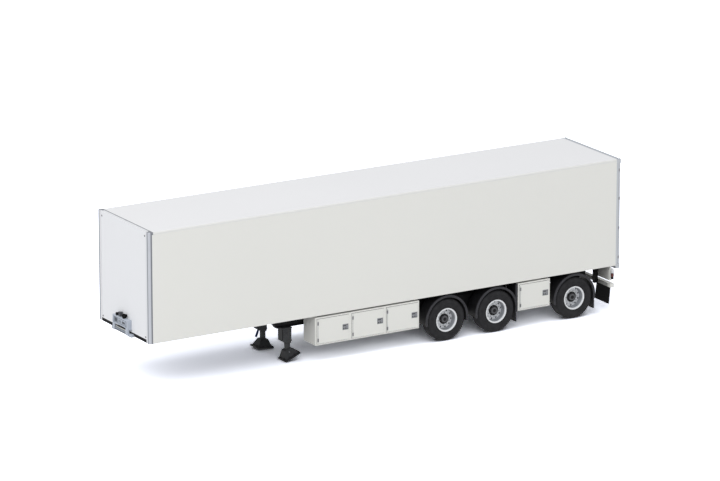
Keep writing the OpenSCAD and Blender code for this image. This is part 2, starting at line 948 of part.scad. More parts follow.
module rear_flaps() {
    flap_t = 0.5;
    color([0.06, 0.06, 0.065])
        both_sides()
            translate([front_x - board_d - flap_t, board_out_y - rear_flap_w, bar_low])
                rotate([0, -rear_flap_lean, 0])
                    translate([-0.2, 0, -rear_flap_h])
                        cube([flap_t, rear_flap_w, rear_flap_h - 0.1]);
}

// Marker lamps on short arms at the ends of the light boards
module marker_lamps() {
    marker_z = board_low + 1;
    marker_h = 5.6;
    marker_d = board_d + board_t / 2 + 0.4;
    marker_y = half_w + 0.05;
    color([0.55, 0.12, 0.12])
        both_sides() {
            translate([front_x - marker_d, marker_y, marker_z])
                cylinder(h = marker_h, r = marker_r);
            translate([front_x - marker_d, board_out_y, marker_z + 0.6])
                rotate([-90, 0, 0])
                    cylinder(h = marker_y - board_out_y, r = 0.35);
        }
}

// ---------- Wheels ----------

// Half the tyre's cross-section, drawn as radius and height
module tyre_section() {
    half = tyre_w / 2;
    tread_r = tyre_d / 2;
    shoulder_r = 1;
    bead_half = half - 0.45;
    wall = [for (i = [0 : 6]) let (a = i * 15)
        [tread_r - shoulder_r + shoulder_r * sin(a), half - 0.25 - shoulder_r + shoulder_r * cos(a)]];
    upper = concat([[rim_seat_r, bead_half], [rim_seat_r + 0.5, half - 0.15],
                    [rim_seat_r + 1.4, half], [tread_r - 1.9, half - 0.05]], wall);
    polygon(concat(upper, [for (i = [len(upper) - 1 : -1 : 0]) [upper[i][0], -upper[i][1]]]));
}

module tyre() {
    color([0.05, 0.05, 0.05])
        rotate_extrude($fn = 96)
            tyre_section();
}

// Rim, disc and hub in one turned piece, with the hub cap closing its bore
module wheel() {
    bore_r = stub_r + stub_clear;
    barrel_r = rim_seat_r - rim_t;
    hub_r = hub_cap_d / 2 + 0.6;
    color([0.78, 0.79, 0.80])
        rotate_extrude($fn = 96)
            polygon([
                [bore_r, -rim_edge + 0.9], [hub_r, -rim_edge + 0.9],
                [hub_r, disc_top - disc_t], [barrel_r - 0.6, disc_top - disc_t],
                [barrel_r, disc_top - disc_t - 0.5], [barrel_r, -rim_edge],
                [rim_seat_r, -rim_edge], [rim_seat_r, rim_edge],
                [barrel_r + 0.15, rim_edge], [barrel_r - 0.35, disc_top + 0.2],
                [barrel_r - 0.6, disc_top], [hub_cap_d / 2 + 0.3, disc_top],
                [hub_cap_d / 2, disc_top + 0.3],
                [hub_cap_d / 2, disc_top + hub_cap_h - 0.4],
                [hub_cap_d / 2 - 0.4, disc_top + hub_cap_h],
                [0, disc_top + hub_cap_h], [0, stub_end + 0.1], [bore_r, stub_end + 0.1]]);
}

// Places the children, whose outer side is up, on the axle's left end
module on_left(d) {
    translate([front_x - d, tyre_y, axle_z])
        rotate([-90, 0, 0])
            children();
}

module on_right(d) {
    mirror([0, 1, 0])
        on_left(d)
            children();
}

chassis_deck();
load_floor();
front_wall();
front_frame();
left_side_wall();
right_side_wall();
roof();
rear_frame();
left_door_edging();
left_door_panel();
left_door_locks();
right_door_edging();
right_door_panel();
right_door_locks();
left_rail();
right_rail();
cross_members();
coupling_plate();
kingpin();
air_tanks();
connection_bracket();
connectors();
left_landing_leg();
right_landing_leg();
left_foot();
right_foot();
leg_crank();
left_lockers();
right_lockers();
left_locker_doors();
right_locker_doors();
left_mudguards();
right_mudguards();
suspension_arms();
air_springs();
rear_brackets();
light_boards();
tail_lamps();
underrun_bar();
rear_flaps();
marker_lamps();
axle_1();
axle_2();
axle_3();
on_left(axle_1_d) tyre();  // left_tyre_1
on_left(axle_2_d) tyre();  // left_tyre_2
on_left(axle_3_d) tyre();  // left_tyre_3
on_right(axle_1_d) tyre();  // right_tyre_1
on_right(axle_2_d) tyre();  // right_tyre_2
on_right(axle_3_d) tyre();  // right_tyre_3
on_left(axle_1_d) wheel();  // left_wheel_1
on_left(axle_2_d) wheel();  // left_wheel_2
on_left(axle_3_d) wheel();  // left_wheel_3
on_right(axle_1_d) wheel();  // right_wheel_1
on_right(axle_2_d) wheel();  // right_wheel_2
on_right(axle_3_d) wheel();  // right_wheel_3
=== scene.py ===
"""Looks of the box semi trailer model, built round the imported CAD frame."""

from math import atan2, cos, hypot, pi, radians, sin

import bmesh
import bpy
from mathutils import Matrix, Vector


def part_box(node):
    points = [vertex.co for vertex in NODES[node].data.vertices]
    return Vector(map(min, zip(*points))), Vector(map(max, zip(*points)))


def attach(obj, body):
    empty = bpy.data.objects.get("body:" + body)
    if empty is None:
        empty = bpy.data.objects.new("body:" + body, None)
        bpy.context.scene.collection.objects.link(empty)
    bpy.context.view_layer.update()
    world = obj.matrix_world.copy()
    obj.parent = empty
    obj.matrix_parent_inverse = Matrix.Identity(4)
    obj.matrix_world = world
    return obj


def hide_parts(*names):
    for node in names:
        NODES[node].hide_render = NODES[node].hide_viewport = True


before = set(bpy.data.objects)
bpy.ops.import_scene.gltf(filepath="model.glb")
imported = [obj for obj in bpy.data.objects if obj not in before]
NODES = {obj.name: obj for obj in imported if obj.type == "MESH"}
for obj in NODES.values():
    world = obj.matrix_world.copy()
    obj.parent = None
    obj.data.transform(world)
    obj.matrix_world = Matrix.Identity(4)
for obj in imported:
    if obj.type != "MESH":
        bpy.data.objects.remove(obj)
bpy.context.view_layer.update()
SIDES = (("left", 1), ("right", -1))
UP, ACROSS, ALONG = (0, 0, 1), (0, 1, 0), (1, 0, 0)


# ---------- Places read from the frame, in millimetres ----------


def box_of(node):
    lo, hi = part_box(node)
    return lo * 1000, hi * 1000


def solids(node):
    """Boxes of a node's separate solids, the front one first."""
    me = NODES[node].data
    root = list(range(len(me.vertices)))

    def find(i):
        while root[i] != i:
            root[i] = root[root[i]]
            i = root[i]
        return i

    seen = {}
    for v in me.vertices:
        spot = tuple(round(c, 7) for c in v.co)
        root[find(v.index)] = find(seen.setdefault(spot, v.index))
    for p in me.polygons:
        for i in p.vertices:
            root[find(i)] = find(p.vertices[0])
    groups = {}
    for v in me.vertices:
        groups.setdefault(find(v.index), []).append(v.co * 1000)
    boxes = [
        (Vector(min(c[k] for c in g) for k in range(3)), Vector(max(c[k] for c in g) for k in range(3)))
        for g in groups.values()
    ]
    return sorted(boxes, key=lambda b: (-round(b[1].x, 2), b[0].y))


# ---------- Materials ----------


def lin(r, g, b):
    """A display colour from 0 to 255 as a linear one."""
    out = [c / 255 / 12.92 if c <= 10.3 else ((c / 255 + 0.055) / 1.055) ** 2.4 for c in (r, g, b)]
    return (*out, 1)


class Nodes:
    """Short calls for building the node tree of a new material or world."""

    def __init__(self, name, kind=bpy.data.materials):
        self.block = kind.new(name)
        self.block.use_nodes = True
        self.tree = self.block.node_tree
        self.at = self.add("ShaderNodeTexCoord").outputs["Object"]

    def feed(self, node, inputs):
        """Links each named input to a socket, or sets it to a value."""
        for name, value in inputs.items():
            if isinstance(value, bpy.types.NodeSocket):
                self.tree.links.new(value, node.inputs[name])
            else:
                node.inputs[name].default_value = value

    def add(self, kind, inputs=None, **values):
        node = self.tree.nodes.new(kind)
        for name, value in values.items():
            setattr(node, name, value)
        self.feed(node, inputs or {})
        return node

    def noise(self, size_mm, detail=3.0, stretch=None):
        spot = self.at
        if stretch:
            spot = self.add("ShaderNodeMapping", {"Vector": spot, "Scale": stretch}).outputs["Vector"]
        inputs = {"Vector": spot, "Scale": 1000.0 / size_mm, "Detail": detail}
        return self.add("ShaderNodeTexNoise", inputs).outputs["Fac"]

    def spread(self, value, a, b, to_a=0.0, to_b=1.0):
        """Maps a value between a and b to one between to_a and to_b."""
        inputs = {"Value": value, "From Min": a, "From Max": b, "To Min": to_a, "To Max": to_b}
        return self.add("ShaderNodeMapRange", inputs).outputs["Result"]

    def sum(self, how, a, b=0.0):
        return self.add("ShaderNodeMath", {0: a, 1: b}, operation=how).outputs[0]

    def mix(self, factor, a, b):
        return self.add("ShaderNodeMix", {"Factor": factor, 6: a, 7: b}, data_type="RGBA").outputs[2]

    def mix_shaders(self, factor, a, b):
        return self.add("ShaderNodeMixShader", {0: factor, 1: a.outputs[0], 2: b.outputs[0]})

    def show(self, output, shader):
        self.feed(self.tree.nodes[output], {"Surface": shader.outputs[0]})

    def place(self, axis):
        """A point's place along an axis, in millimetres."""
        parts = self.add("ShaderNodeSeparateXYZ", {0: self.at})
        return self.sum("MULTIPLY", parts.outputs[axis], 1000.0)

    def away(self, axis):
        """A point's distance from the middle along an axis, in millimetres."""
        return self.sum("ABSOLUTE", self.place(axis))

    def within(self, value, middle, half):
        """1 where a value in millimetres is within half of middle, 0 elsewhere."""
        off = self.sum("ABSOLUTE", self.sum("SUBTRACT", value, middle))
        return self.spread(off, half * 0.8, half, 1.0, 0.0)

    def edges(self, radius_mm):
        """Near 1 along convex and concave edges, 0 on flat faces."""
        bevel = self.add("ShaderNodeBevel", {"Radius": radius_mm / 1000}, samples=4)
        own = self.add("ShaderNodeNewGeometry")
        normals = {0: bevel.outputs["Normal"], 1: own.outputs["Normal"]}
        dot = self.add("ShaderNodeVectorMath", normals, operation="DOT_PRODUCT")
        return self.spread(dot.outputs["Value"], 0.97, 0.75)

    def bump(self, height, strength, depth_mm, base=None):
        inputs = {"Height": height, "Strength": strength, "Distance": depth_mm / 1000}
        if base is not None:
            inputs["Normal"] = base
        return self.add("ShaderNodeBump", inputs).outputs["Normal"]

    def surface(self, colour, clouds, rough, normal=None, spec=0.5, metal=0.0, coat=0.0):
        """The material with this colour, and a roughness between two values that follows the clouds."""
        looks = {"Base Color": colour, "Roughness": self.spread(clouds, 0.3, 0.7, *rough),
                 "Specular IOR Level": spec, "Metallic": metal, "Coat Weight": coat, "Coat Roughness": 0.05}
        if normal is not None:
            looks["Normal"] = normal
        self.feed(self.tree.nodes["Principled BSDF"], looks)
        return self.block


def shade(colour, by):
    return (*[min(1.0, max(0.0, c * by)) for c in colour[:3]], 1)


RUBBED_AND_LIT_EDGE = 0.18
BREAK_UP = 1.3


def finish(name, colour, rough, tone, patch, grain, depth, wear_and_sheen=0.0, worn_and_lit=None, metal=0.0, spec=0.5):
    """A moulded or painted surface: slight colour clouds, fine grain, and edges painted lighter, partly as
    rubbed wear and partly as a painted highlight.

    Colours are display values from 0 to 255. Clouds of size patch and grain of size grain and depth
    are in millimetres.
    """
    n = Nodes(name)
    clouds, fine = n.noise(patch, 3), n.noise(grain, 4)
    blend = n.sum("ADD", n.sum("MULTIPLY", clouds, 0.6), n.sum("MULTIPLY", fine, 0.4))
    body = n.mix(n.spread(blend, 0.35, 0.65), shade(lin(*colour), 1 - tone), shade(lin(*colour), 1 + tone))
    # Lighter edges: partly rubbed wear, partly a painted highlight
    lit_and_rubbed_edges = n.sum("MULTIPLY", n.edges(RUBBED_AND_LIT_EDGE), n.spread(n.noise(BREAK_UP, 4), 0.3, 0.7, 0.45, 1.0))
    shown = n.mix(n.sum("MULTIPLY", lit_and_rubbed_edges, wear_and_sheen), body, lin(*(worn_and_lit or colour)))
    return n.surface(shown, blend, (rough - 0.05, rough + 0.06), n.bump(fine, 0.25, depth), spec, metal)


WHITE = finish("side_white", (227, 227, 222), 0.5, tone=0.006, patch=60, grain=0.8,
               depth=0.004, wear_and_sheen=0.2, worn_and_lit=(238, 238, 235), spec=0.35)
SILVER = finish("silver_trim", (196, 200, 205), 0.36, tone=0.03, patch=9, grain=0.12,
                depth=0.003, wear_and_sheen=0.5, worn_and_lit=(228, 230, 233), metal=0.45)
BLACK_PAINT = finish("chassis_black", (24, 24, 26), 0.5, tone=0.12, patch=6, grain=0.25,
                     depth=0.008, wear_and_sheen=0.25, worn_and_lit=(66, 66, 68), spec=0.15)
DECK_BLACK = finish("deck_black", (21, 21, 23), 0.6, tone=0.12, patch=6, grain=0.25,
                    depth=0.008, spec=0.1)
LEG_GREY = finish("leg_grey", (58, 59, 61), 0.55, tone=0.14, patch=2.5, grain=0.22,
                  depth=0.012, wear_and_sheen=0.5, worn_and_lit=(112, 113, 116), spec=0.25)
FOOT_GREY = finish("foot_grey", (44, 45, 47), 0.55, tone=0.22, patch=1.6, grain=0.25,
                   depth=0.02, wear_and_sheen=0.6, worn_and_lit=(104, 105, 108), spec=0.25)
BRACKET = finish("bracket_grey", (176, 183, 194), 0.4, tone=0.03, patch=5, grain=0.3,
                 depth=0.005, wear_and_sheen=0.4, worn_and_lit=(226, 231, 238))
BLACK_PLASTIC = finish("black_plastic", (24, 24, 26), 0.5, tone=0.12, patch=5, grain=0.2,
                       depth=0.008, wear_and_sheen=0.4, worn_and_lit=(76, 76, 78), spec=0.2)
RUBBER = finish("black_rubber", (20, 20, 21), 0.75, tone=0.14, patch=4, grain=0.15,
                depth=0.012, wear_and_sheen=0.25, worn_and_lit=(52, 52, 53), spec=0.12)
WHEEL_SILVER = finish("wheel_silver", (214, 216, 219), 0.32, tone=0.03, patch=3, grain=0.1,
                      depth=0.003, wear_and_sheen=0.5, worn_and_lit=(240, 241, 243), metal=0.35)
STEEL = finish("pin_steel", (180, 182, 186), 0.3, tone=0.05, patch=3, grain=0.1,
               depth=0.004, wear_and_sheen=0.4, worn_and_lit=(222, 224, 228), metal=0.85)
FITTING = finish("fitting_grey", (150, 152, 156), 0.45, tone=0.06, patch=1.5, grain=0.1,
                 depth=0.004, wear_and_sheen=0.4, worn_and_lit=(205, 206, 210), metal=0.2)
DARK_FITTING = finish("dark_fitting", (84, 85, 88), 0.5, tone=0.1, patch=1, grain=0.1,
                      depth=0.004, wear_and_sheen=0.4, worn_and_lit=(140, 141, 144))
CRANK_BLUE = finish("crank_blue_black", (30, 50, 90), 0.45, tone=0.1, patch=2, grain=0.15,
                    depth=0.006, wear_and_sheen=0.3, worn_and_lit=(62, 76, 104), spec=0.25)
# Painted shade for the inside of the rim's barrel, and a painted highlight for its outer lip
BARREL_SHADE = finish("barrel_painted_shade", (150, 153, 158), 0.4, tone=0.06, patch=2, grain=0.1,
                       depth=0.003, wear_and_sheen=0.2, worn_and_lit=(200, 202, 205), metal=0.4)
LIP_HIGHLIGHT = finish("rim_lip_highlight", (236, 238, 240), 0.35, tone=0.02, patch=2, grain=0.1,
                    depth=0.002, wear_and_sheen=0.2, worn_and_lit=(246, 247, 248), metal=0.2)
PANEL_GREY = finish("bracket_panel", (134, 141, 150), 0.45, tone=0.05, patch=1.5, grain=0.15,
                    depth=0.006, wear_and_sheen=0.5, worn_and_lit=(206, 212, 220), spec=0.3)
SHADOW_GREY = finish("bracket_dark", (88, 92, 99), 0.5, tone=0.08, patch=1.5, grain=0.15,
                     depth=0.006, wear_and_sheen=0.3, worn_and_lit=(140, 143, 150), spec=0.2)
COUPLING_GREY = finish("coupling_grey", (74, 75, 79), 0.45, tone=0.1, patch=1, grain=0.1,
                       depth=0.005, wear_and_sheen=0.4, worn_and_lit=(160, 162, 166), spec=0.3)


def lens(name, colour):
    """A ribbed clear lens over a bright back."""
    n = Nodes(name)
    ribs = n.add("ShaderNodeTexWave", {"Vector": n.at, "Scale": 260}, wave_type="BANDS", bands_direction="Y")
    clouds = n.noise(1.2, 2)
    body = n.mix(clouds, shade(colour, 0.75), shade(colour, 1.2))
    return n.surface(body, clouds, (0.1, 0.2), n.bump(ribs.outputs["Fac"], 0.5, 0.05), coat=0.6)


RED_LENS = lens("red_lens", lin(150, 24, 22))
DARK_RED = lens("dark_red_lens", lin(84, 14, 16))
AMBER_LENS = lens("amber_lens", lin(214, 120, 30))
CLEAR_LENS = lens("clear_lens", lin(205, 206, 208))


def tyre_rubber():
    """Matt rubber, a little dusty in the grooves, with fine rings on the sidewall."""
    ring_pitch = 0.00042
    n = Nodes("tyre_rubber")
    clouds, fine = n.noise(3, 3), n.noise(0.18, 4)
    body = n.mix(n.spread(clouds, 0.35, 0.65), lin(35, 35, 37), lin(45, 45, 47))
    dusty = n.mix(n.sum("MULTIPLY", n.edges(0.12), 0.3), body, lin(64, 64, 66))
    flat = n.add("ShaderNodeVectorMath", {0: n.at, 1: (1, 0, 1)}, operation="MULTIPLY")
    far = n.add("ShaderNodeVectorMath", {0: flat.outputs["Vector"]}, operation="LENGTH")
    rings = n.sum("SINE", n.sum("MULTIPLY", far.outputs["Value"], 2 * pi / ring_pitch))
    return n.surface(dusty, fine, (0.62, 0.8), n.bump(fine, 0.3, 0.012, n.bump(rings, 0.12, 0.02)), spec=0.2)


TYRE = tyre_rubber()


def mudguard_black():
    """Matt black, with the outer lip of a moulded mudguard painted lighter as a highlight, and rubbed lighter
    still at its edges.
    """
    n = Nodes("mudguard_black")
    outer = box_of("left_mudguards")[1].y
    lip = n.spread(n.away("Y"), outer - 0.62, outer - 0.5)
    clouds = n.noise(2.4, 4)
    dark = n.mix(clouds, lin(23, 23, 25), lin(36, 36, 38))
    # Painted highlight: the lip band is a lighter black than the rest
    light = n.mix(clouds, lin(38, 38, 41), lin(66, 66, 70))
    worn_and_lit = n.mix(n.sum("MULTIPLY", n.edges(0.2), 0.5), light, lin(126, 126, 130))
    grain = n.bump(n.noise(0.2, 4), 0.25, 0.01)
    return n.surface(n.mix(lip, dark, worn_and_lit), clouds, (0.5, 0.62), grain, spec=0.2)


MUDGUARD_BLACK = mudguard_black()


def shaded_white(name, colour, axis, start, end, to_colour, rough, spec):
    """Satin white that turns into another colour between two places along an axis."""
    n = Nodes(name)
    clouds = n.noise(60, 3)
    body = n.mix(clouds, shade(colour, 0.995), shade(colour, 1.005))
    turned = n.mix(n.spread(n.away(axis), start, end), body, to_colour)
    grain = n.bump(n.noise(0.8, 4), 0.25, 0.004)
    return n.surface(turned, clouds, (rough - 0.04, rough + 0.05), grain, spec)


# The roof is painted darker towards its rounded side edges, as painted shade that evens out the light those
# edges catch
roof_y = box_of("roof")[1].y
ROOF_WHITE = shaded_white("roof_white", lin(237, 237, 238), "Y", roof_y - 0.9, roof_y - 0.25,
                          lin(222, 222, 219), 0.58, 0.25)
low_z = box_of("front_wall")[0].z
FRONT_WHITE = shaded_white("front_white", lin(230, 231, 233), "Z", low_z + 0.42, low_z + 0.36,
                           lin(21, 21, 23), 0.45, 0.3)


def front_trim():
    """Satin silver corner posts with a painted highlight along their edges, and dark joints beside the front
    panel and the side walls.
    """
    n = Nodes("front_trim")
    x, y = n.place("X"), n.away("Y")
    panel_y = box_of("front_wall")[1].y
    wall_x = box_of("left_side_wall")[1].x
    beside_panel = n.within(y, panel_y + 1.85, 0.36)
    beside_wall = n.within(x, wall_x + 0.45, 0.42)
    over_wall = n.spread(x, wall_x - 0.02, wall_x - 0.05)
    joint = n.sum("MAXIMUM", n.sum("MAXIMUM", beside_panel, beside_wall), over_wall)
    clouds = n.noise(6, 3)
    body = n.mix(clouds, lin(192, 195, 203), lin(206, 209, 216))
    # Painted highlight: the edges are painted a lighter silver
    edge_highlight = n.mix(n.sum("MULTIPLY", n.edges(0.3), 0.35), body, lin(220, 223, 230))
    pale_strip = n.spread(y, panel_y + 0.9, panel_y + 1.2, 1.0, 0.0)
    trim = n.mix(pale_strip, edge_highlight, lin(228, 229, 232))
    return n.surface(n.mix(joint, trim, lin(128, 131, 138)), clouds, (0.3, 0.38), metal=0.55)


FRONT_TRIM = front_trim()


def rear_white():
    """Satin white, with painted shade on the forward faces away from the outer edges, darker on the bar than
    on the boards.
    """
    bar_top = 15.9
    n = Nodes("rear_white")
    normal = n.add("ShaderNodeNewGeometry").outputs["True Normal"]
    facing = n.add("ShaderNodeSeparateXYZ", {0: normal})
    forward = n.spread(facing.outputs["X"], 0.6, 0.8)
    outer = box_of("light_boards")[1].y
    # Painted shade: forward faces inboard of the outer edge are darkened as if in the chassis's shadow
    painted_shade = n.sum("MULTIPLY", forward, n.spread(n.away("Y"), outer - 2.6, outer - 0.6, 1.0, 0.0))
    clouds = n.noise(5, 4)
    low = n.spread(n.place("Z"), bar_top - 0.3, bar_top + 0.3, 1.0, 0.0)
    shaded_board = n.mix(clouds, lin(172, 172, 169), lin(192, 192, 188))
    shaded_bar = n.mix(clouds, lin(138, 138, 136), lin(160, 160, 157))
    shown = n.mix(painted_shade, lin(227, 227, 222), n.mix(low, shaded_board, shaded_bar))
    return n.surface(shown, clouds, (0.46, 0.56), n.bump(n.noise(0.8, 4), 0.25, 0.004), spec=0.35)


REAR_WHITE = rear_white()


def planked_floor():
    """The load floor: a matt grey moulding with shallow lengthwise planks."""
    plank = 4
    wave_at_scale_1 = 314.16
    n = Nodes("planked_floor")
    wave = n.add("ShaderNodeTexWave", {"Vector": n.at, "Scale": wave_at_scale_1 / plank},
                 wave_type="BANDS", bands_direction="Y", wave_profile="SAW")
    gap = n.spread(wave.outputs["Fac"], 0.0, 0.06)
    grain = n.noise(2.2, 4, stretch=(0.08, 1, 1))
    wood = n.mix(grain, lin(128, 129, 131), lin(164, 165, 167))
    return n.surface(n.mix(gap, lin(88, 89, 91), wood), grain, (0.5, 0.68), n.bump(gap, 0.5, 0.1))


PLANKS = planked_floor()

# Material, edge rounding in millimetres, and the CAD nodes that have them
LOOKS = (
    (DECK_BLACK, 0.05, "chassis_deck"),
    (PLANKS, 0.05, "load_floor"),
    (FRONT_WHITE, 0.04, "front_wall"),
    (FRONT_TRIM, 0.06, "front_frame"),
    (WHITE, 0.05, "left_side_wall right_side_wall left_door_panel right_door_panel"),
    (WHITE, 0.15, "left_lockers right_lockers"),
    (WHITE, 0.1, "left_locker_doors right_locker_doors"),
    (ROOF_WHITE, 0.0, "roof"),
    (SILVER, 0.1, "rear_frame"),
    (SILVER, 0.06, "left_door_edging right_door_edging"),
    (MUDGUARD_BLACK, 0.08, "left_mudguards right_mudguards"),
    (BLACK_PAINT, 0.12, "left_rail right_rail cross_members coupling_plate rear_brackets"),
    (BLACK_PAINT, 0.12, "suspension_arms axle_1 axle_2 axle_3"),
    (LEG_GREY, 0.12, "left_landing_leg right_landing_leg"),
    (FOOT_GREY, 0.12, "left_foot right_foot"),
    (CRANK_BLUE, 0.12, "leg_crank"),
    (REAR_WHITE, 0.12, "light_boards underrun_bar"),
    (RUBBER, 0.12, "rear_flaps"),
)


def dress(node, mat, rounding):
    """Gives a CAD node its material, and rounds its edges without changing its mesh."""
    node.data.materials.clear()
    node.data.materials.append(mat)
    if not rounding:
        return
    weld = node.modifiers.new("weld", "WELD")
    weld.merge_threshold = 1e-6
    flat = node.modifiers.new("flat", "DECIMATE")
    flat.decimate_type = "DISSOLVE"
    flat.angle_limit = radians(0.4)
    bevel = node.modifiers.new("bevel", "BEVEL")
    bevel.width = rounding / 1000
    bevel.segments = 2
    bevel.limit_method = "ANGLE"
    bevel.angle_limit = radians(35)
    bevel.use_clamp_overlap = True
    node.modifiers.new("normals", "WEIGHTED_NORMAL").keep_sharp = True


for mat, rounding, names in LOOKS:
    for name in names.split():
        dress(NODES[name], mat, rounding)


# ---------- Mesh building, in millimetres ----------


def button(r, side, top_r, top, base=0):
    """Outline of a round piece whose side ends at side and is chamfered to top_r at top."""
    return [(0, base), (r, base), (r, side), (top_r, top), (0, top)]


def rod(r, base, top):
    """Outline of a plain round piece."""
    return [(0, base), (r, base), (r, top), (0, top)]


def join_rings(bm, rings, closed=True):
    """Joins rings of vertices with faces, where a ring may be a single point."""
    for a, b in zip(rings, rings[1:] + rings[:1] * closed):
        count = max(len(a), len(b))
        for k in range(count if count > 1 else 0):
            j = (k + 1) % count
            corners = [a[k % len(a)], a[j % len(a)], b[j % len(b)], b[k % len(b)]]
            bm.faces.new(list(dict.fromkeys(corners)))


def soften(bm, edges, width):
    """Rounds edges in two steps."""
    bmesh.ops.bevel(bm, geom=edges, offset=width, offset_type="OFFSET", segments=2,
                    profile=0.5, affect="EDGES", clamp_overlap=True)


def stand(name, data):
    """A new object in the scene for a mesh, a lamp or a camera."""
    o = bpy.data.objects.new(name, data)
    bpy.context.scene.collection.objects.link(o)
    return o


class Part:
    """Collects closed shapes into one mesh, with a material number for each shape."""

    def __init__(self):
        self.bm = bmesh.new()

    def take(self, bm, m, matrix=None):
        if matrix is not None:
            bmesh.ops.transform(bm, matrix=matrix, verts=bm.verts)
        bmesh.ops.recalc_face_normals(bm, faces=bm.faces)
        for f in bm.faces:
            f.material_index = m
        me = bpy.data.meshes.new("shape")
        bm.to_mesh(me)
        bm.free()
        self.bm.from_mesh(me)
        bpy.data.meshes.remove(me)

    def box(self, lo, hi, m=0, bevel=0.08, matrix=None):
        lo, hi = Vector(lo), Vector(hi)
        low = Vector(map(min, lo, hi))
        size = Vector(map(max, lo, hi)) - low
        bm = bmesh.new()
        bmesh.ops.create_cube(bm, size=1)
        for v in bm.verts:
            v.co = Vector(low[k] + (v.co[k] + 0.5) * size[k] for k in range(3))
        if bevel:
            soften(bm, bm.edges[:], min(bevel, min(size) * 0.4))
        self.take(bm, m, matrix)

    def prism(self, points, plane, lo, hi, m=0, bevel=0.08):
        """An outline drawn in the two axes of plane, from lo to hi along the third."""
        a, b = ("xyz".index(letter) for letter in plane)
        c = 3 - a - b
        bm = bmesh.new()
        ring = []
        for p in points:
            co = [0, 0, 0]
            co[a], co[b], co[c] = p[0], p[1], lo
            ring.append(bm.verts.new(co))
        face = bm.faces.new(ring)
        made = bmesh.ops.extrude_face_region(bm, geom=[face])
        shift = Vector()
        shift[c] = hi - lo
        ends = [v for v in made["geom"] if isinstance(v, bmesh.types.BMVert)]
        bmesh.ops.translate(bm, vec=shift, verts=ends)
        bmesh.ops.recalc_face_normals(bm, faces=bm.faces)
        if bevel:
            soften(bm, [e for e in bm.edges if e.calc_face_angle(0) > radians(30)], bevel)
        self.take(bm, m)

    def lathe(self, profile, at, axis=UP, m=0, n=32, phase=0.0):
        """Turns an outline of (radius, height) points round an axis through at."""
        bm = bmesh.new()
        rings = []
        for r, h in profile:
            if r < 1e-6:
                rings.append([bm.verts.new((0, 0, h))])
            else:
                turn = [phase + 2 * pi * k / n for k in range(n)]
                rings.append([bm.verts.new((r * cos(a), r * sin(a), h)) for a in turn])
        join_rings(bm, rings)
        turn = Vector(UP).rotation_difference(Vector(axis)).to_matrix().to_4x4()
        self.take(bm, m, Matrix.Translation(Vector(at)) @ turn)

    def bolt(self, at, axis, r=0.4, h=0.3, m=0, n=6):
        """A hexagon head on a washer."""
        self.lathe(button(r * 1.35, h * 0.22, r * 1.25, h * 0.3), at, axis, m, 16)
        self.lathe(button(r, h * 0.85, r * 0.85, h, h * 0.2), at, axis, m, n)

    def rivet(self, at, axis, r=0.3, h=0.18, m=0):
        arc = [(r * cos(a), h * sin(a)) for a in (0, 0.4, 0.8, 1.2)]
        self.lathe([(0, -0.02), (r, -0.02), *arc, (0, h)], at, axis, m, 12)

    def tube(self, points, r, m=0, n=12):
        """A round bar along a path of points."""
        path = [Vector(p) for p in points]
        turns = [2 * pi * k / n for k in range(n)]
        bm = bmesh.new()
        rings = []
        across = None
        for i, p in enumerate(path):
            ahead = (path[min(i + 1, len(path) - 1)] - path[max(i - 1, 0)]).normalized()
            if across is None:
                across = ahead.orthogonal().normalized()
            across = (across - ahead * across.dot(ahead)).normalized()
            other = ahead.cross(across)
            spots = [p + r * (across * cos(a) + other * sin(a)) for a in turns]
            rings.append([bm.verts.new(spot) for spot in spots])
        join_rings(bm, rings, closed=False)
        bm.faces.new(rings[0][::-1])
        bm.faces.new(rings[-1])
        self.take(bm, m)

    def mesh(self, name, mats, sharp=35):
        bmesh.ops.scale(self.bm, vec=(0.001, 0.001, 0.001), verts=self.bm.verts)
        for f in self.bm.faces:
            f.smooth = True
        for e in self.bm.edges:
            if len(e.link_faces) != 2 or e.calc_face_angle(0) > radians(sharp):
                e.smooth = False
        me = bpy.data.meshes.new(name)
        self.bm.to_mesh(me)
        self.bm.free()
        for mat in mats:
            me.materials.append(mat)
        return me

    def done(self, name, mats, replaces=(), body="root"):
        """Puts the mesh in the scene as a piece that moves with a body and stands for CAD nodes."""
        place(self.mesh(name, mats), name, body, replaces)


def place(me, name, body, replaces=(), matrix=None):
    o = stand(name, me)
    if matrix is not None:
        o.matrix_world = matrix
    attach(o, body)
    if replaces:
        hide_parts(*replaces)
    return o


def rounded(a, corner, b, r, steps=5):
    """Points from a to b that turn round corner with radius r."""
    a, corner, b = Vector(a), Vector(corner), Vector(b)
    p = corner + (a - corner).normalized() * r
    q = corner + (b - corner).normalized() * r
    bend = []
    for i in range(steps + 1):
        t = i / steps
        bend.append((1 - t) ** 2 * p + 2 * t * (1 - t) * corner + t * t * q)
    return [a, *bend, b]


# ---------- Wheels ----------

tyre_lo, tyre_hi = box_of("left_tyre_1")
wheel_lo, wheel_hi = box_of("left_wheel_1")
TYRE_R = (tyre_hi.z - tyre_lo.z) / 2
TYRE_HALF = (tyre_hi.y - tyre_lo.y) / 2
RIM_R = (wheel_hi.z - wheel_lo.z) / 2
RIM_EDGE = (wheel_hi.y - wheel_lo.y) / 2
STUB_Y = box_of("axle_1")[1].y - (tyre_lo.y + tyre_hi.y) / 2
DISC_TOP = STUB_Y - 0.3
CAP_H = 1.6


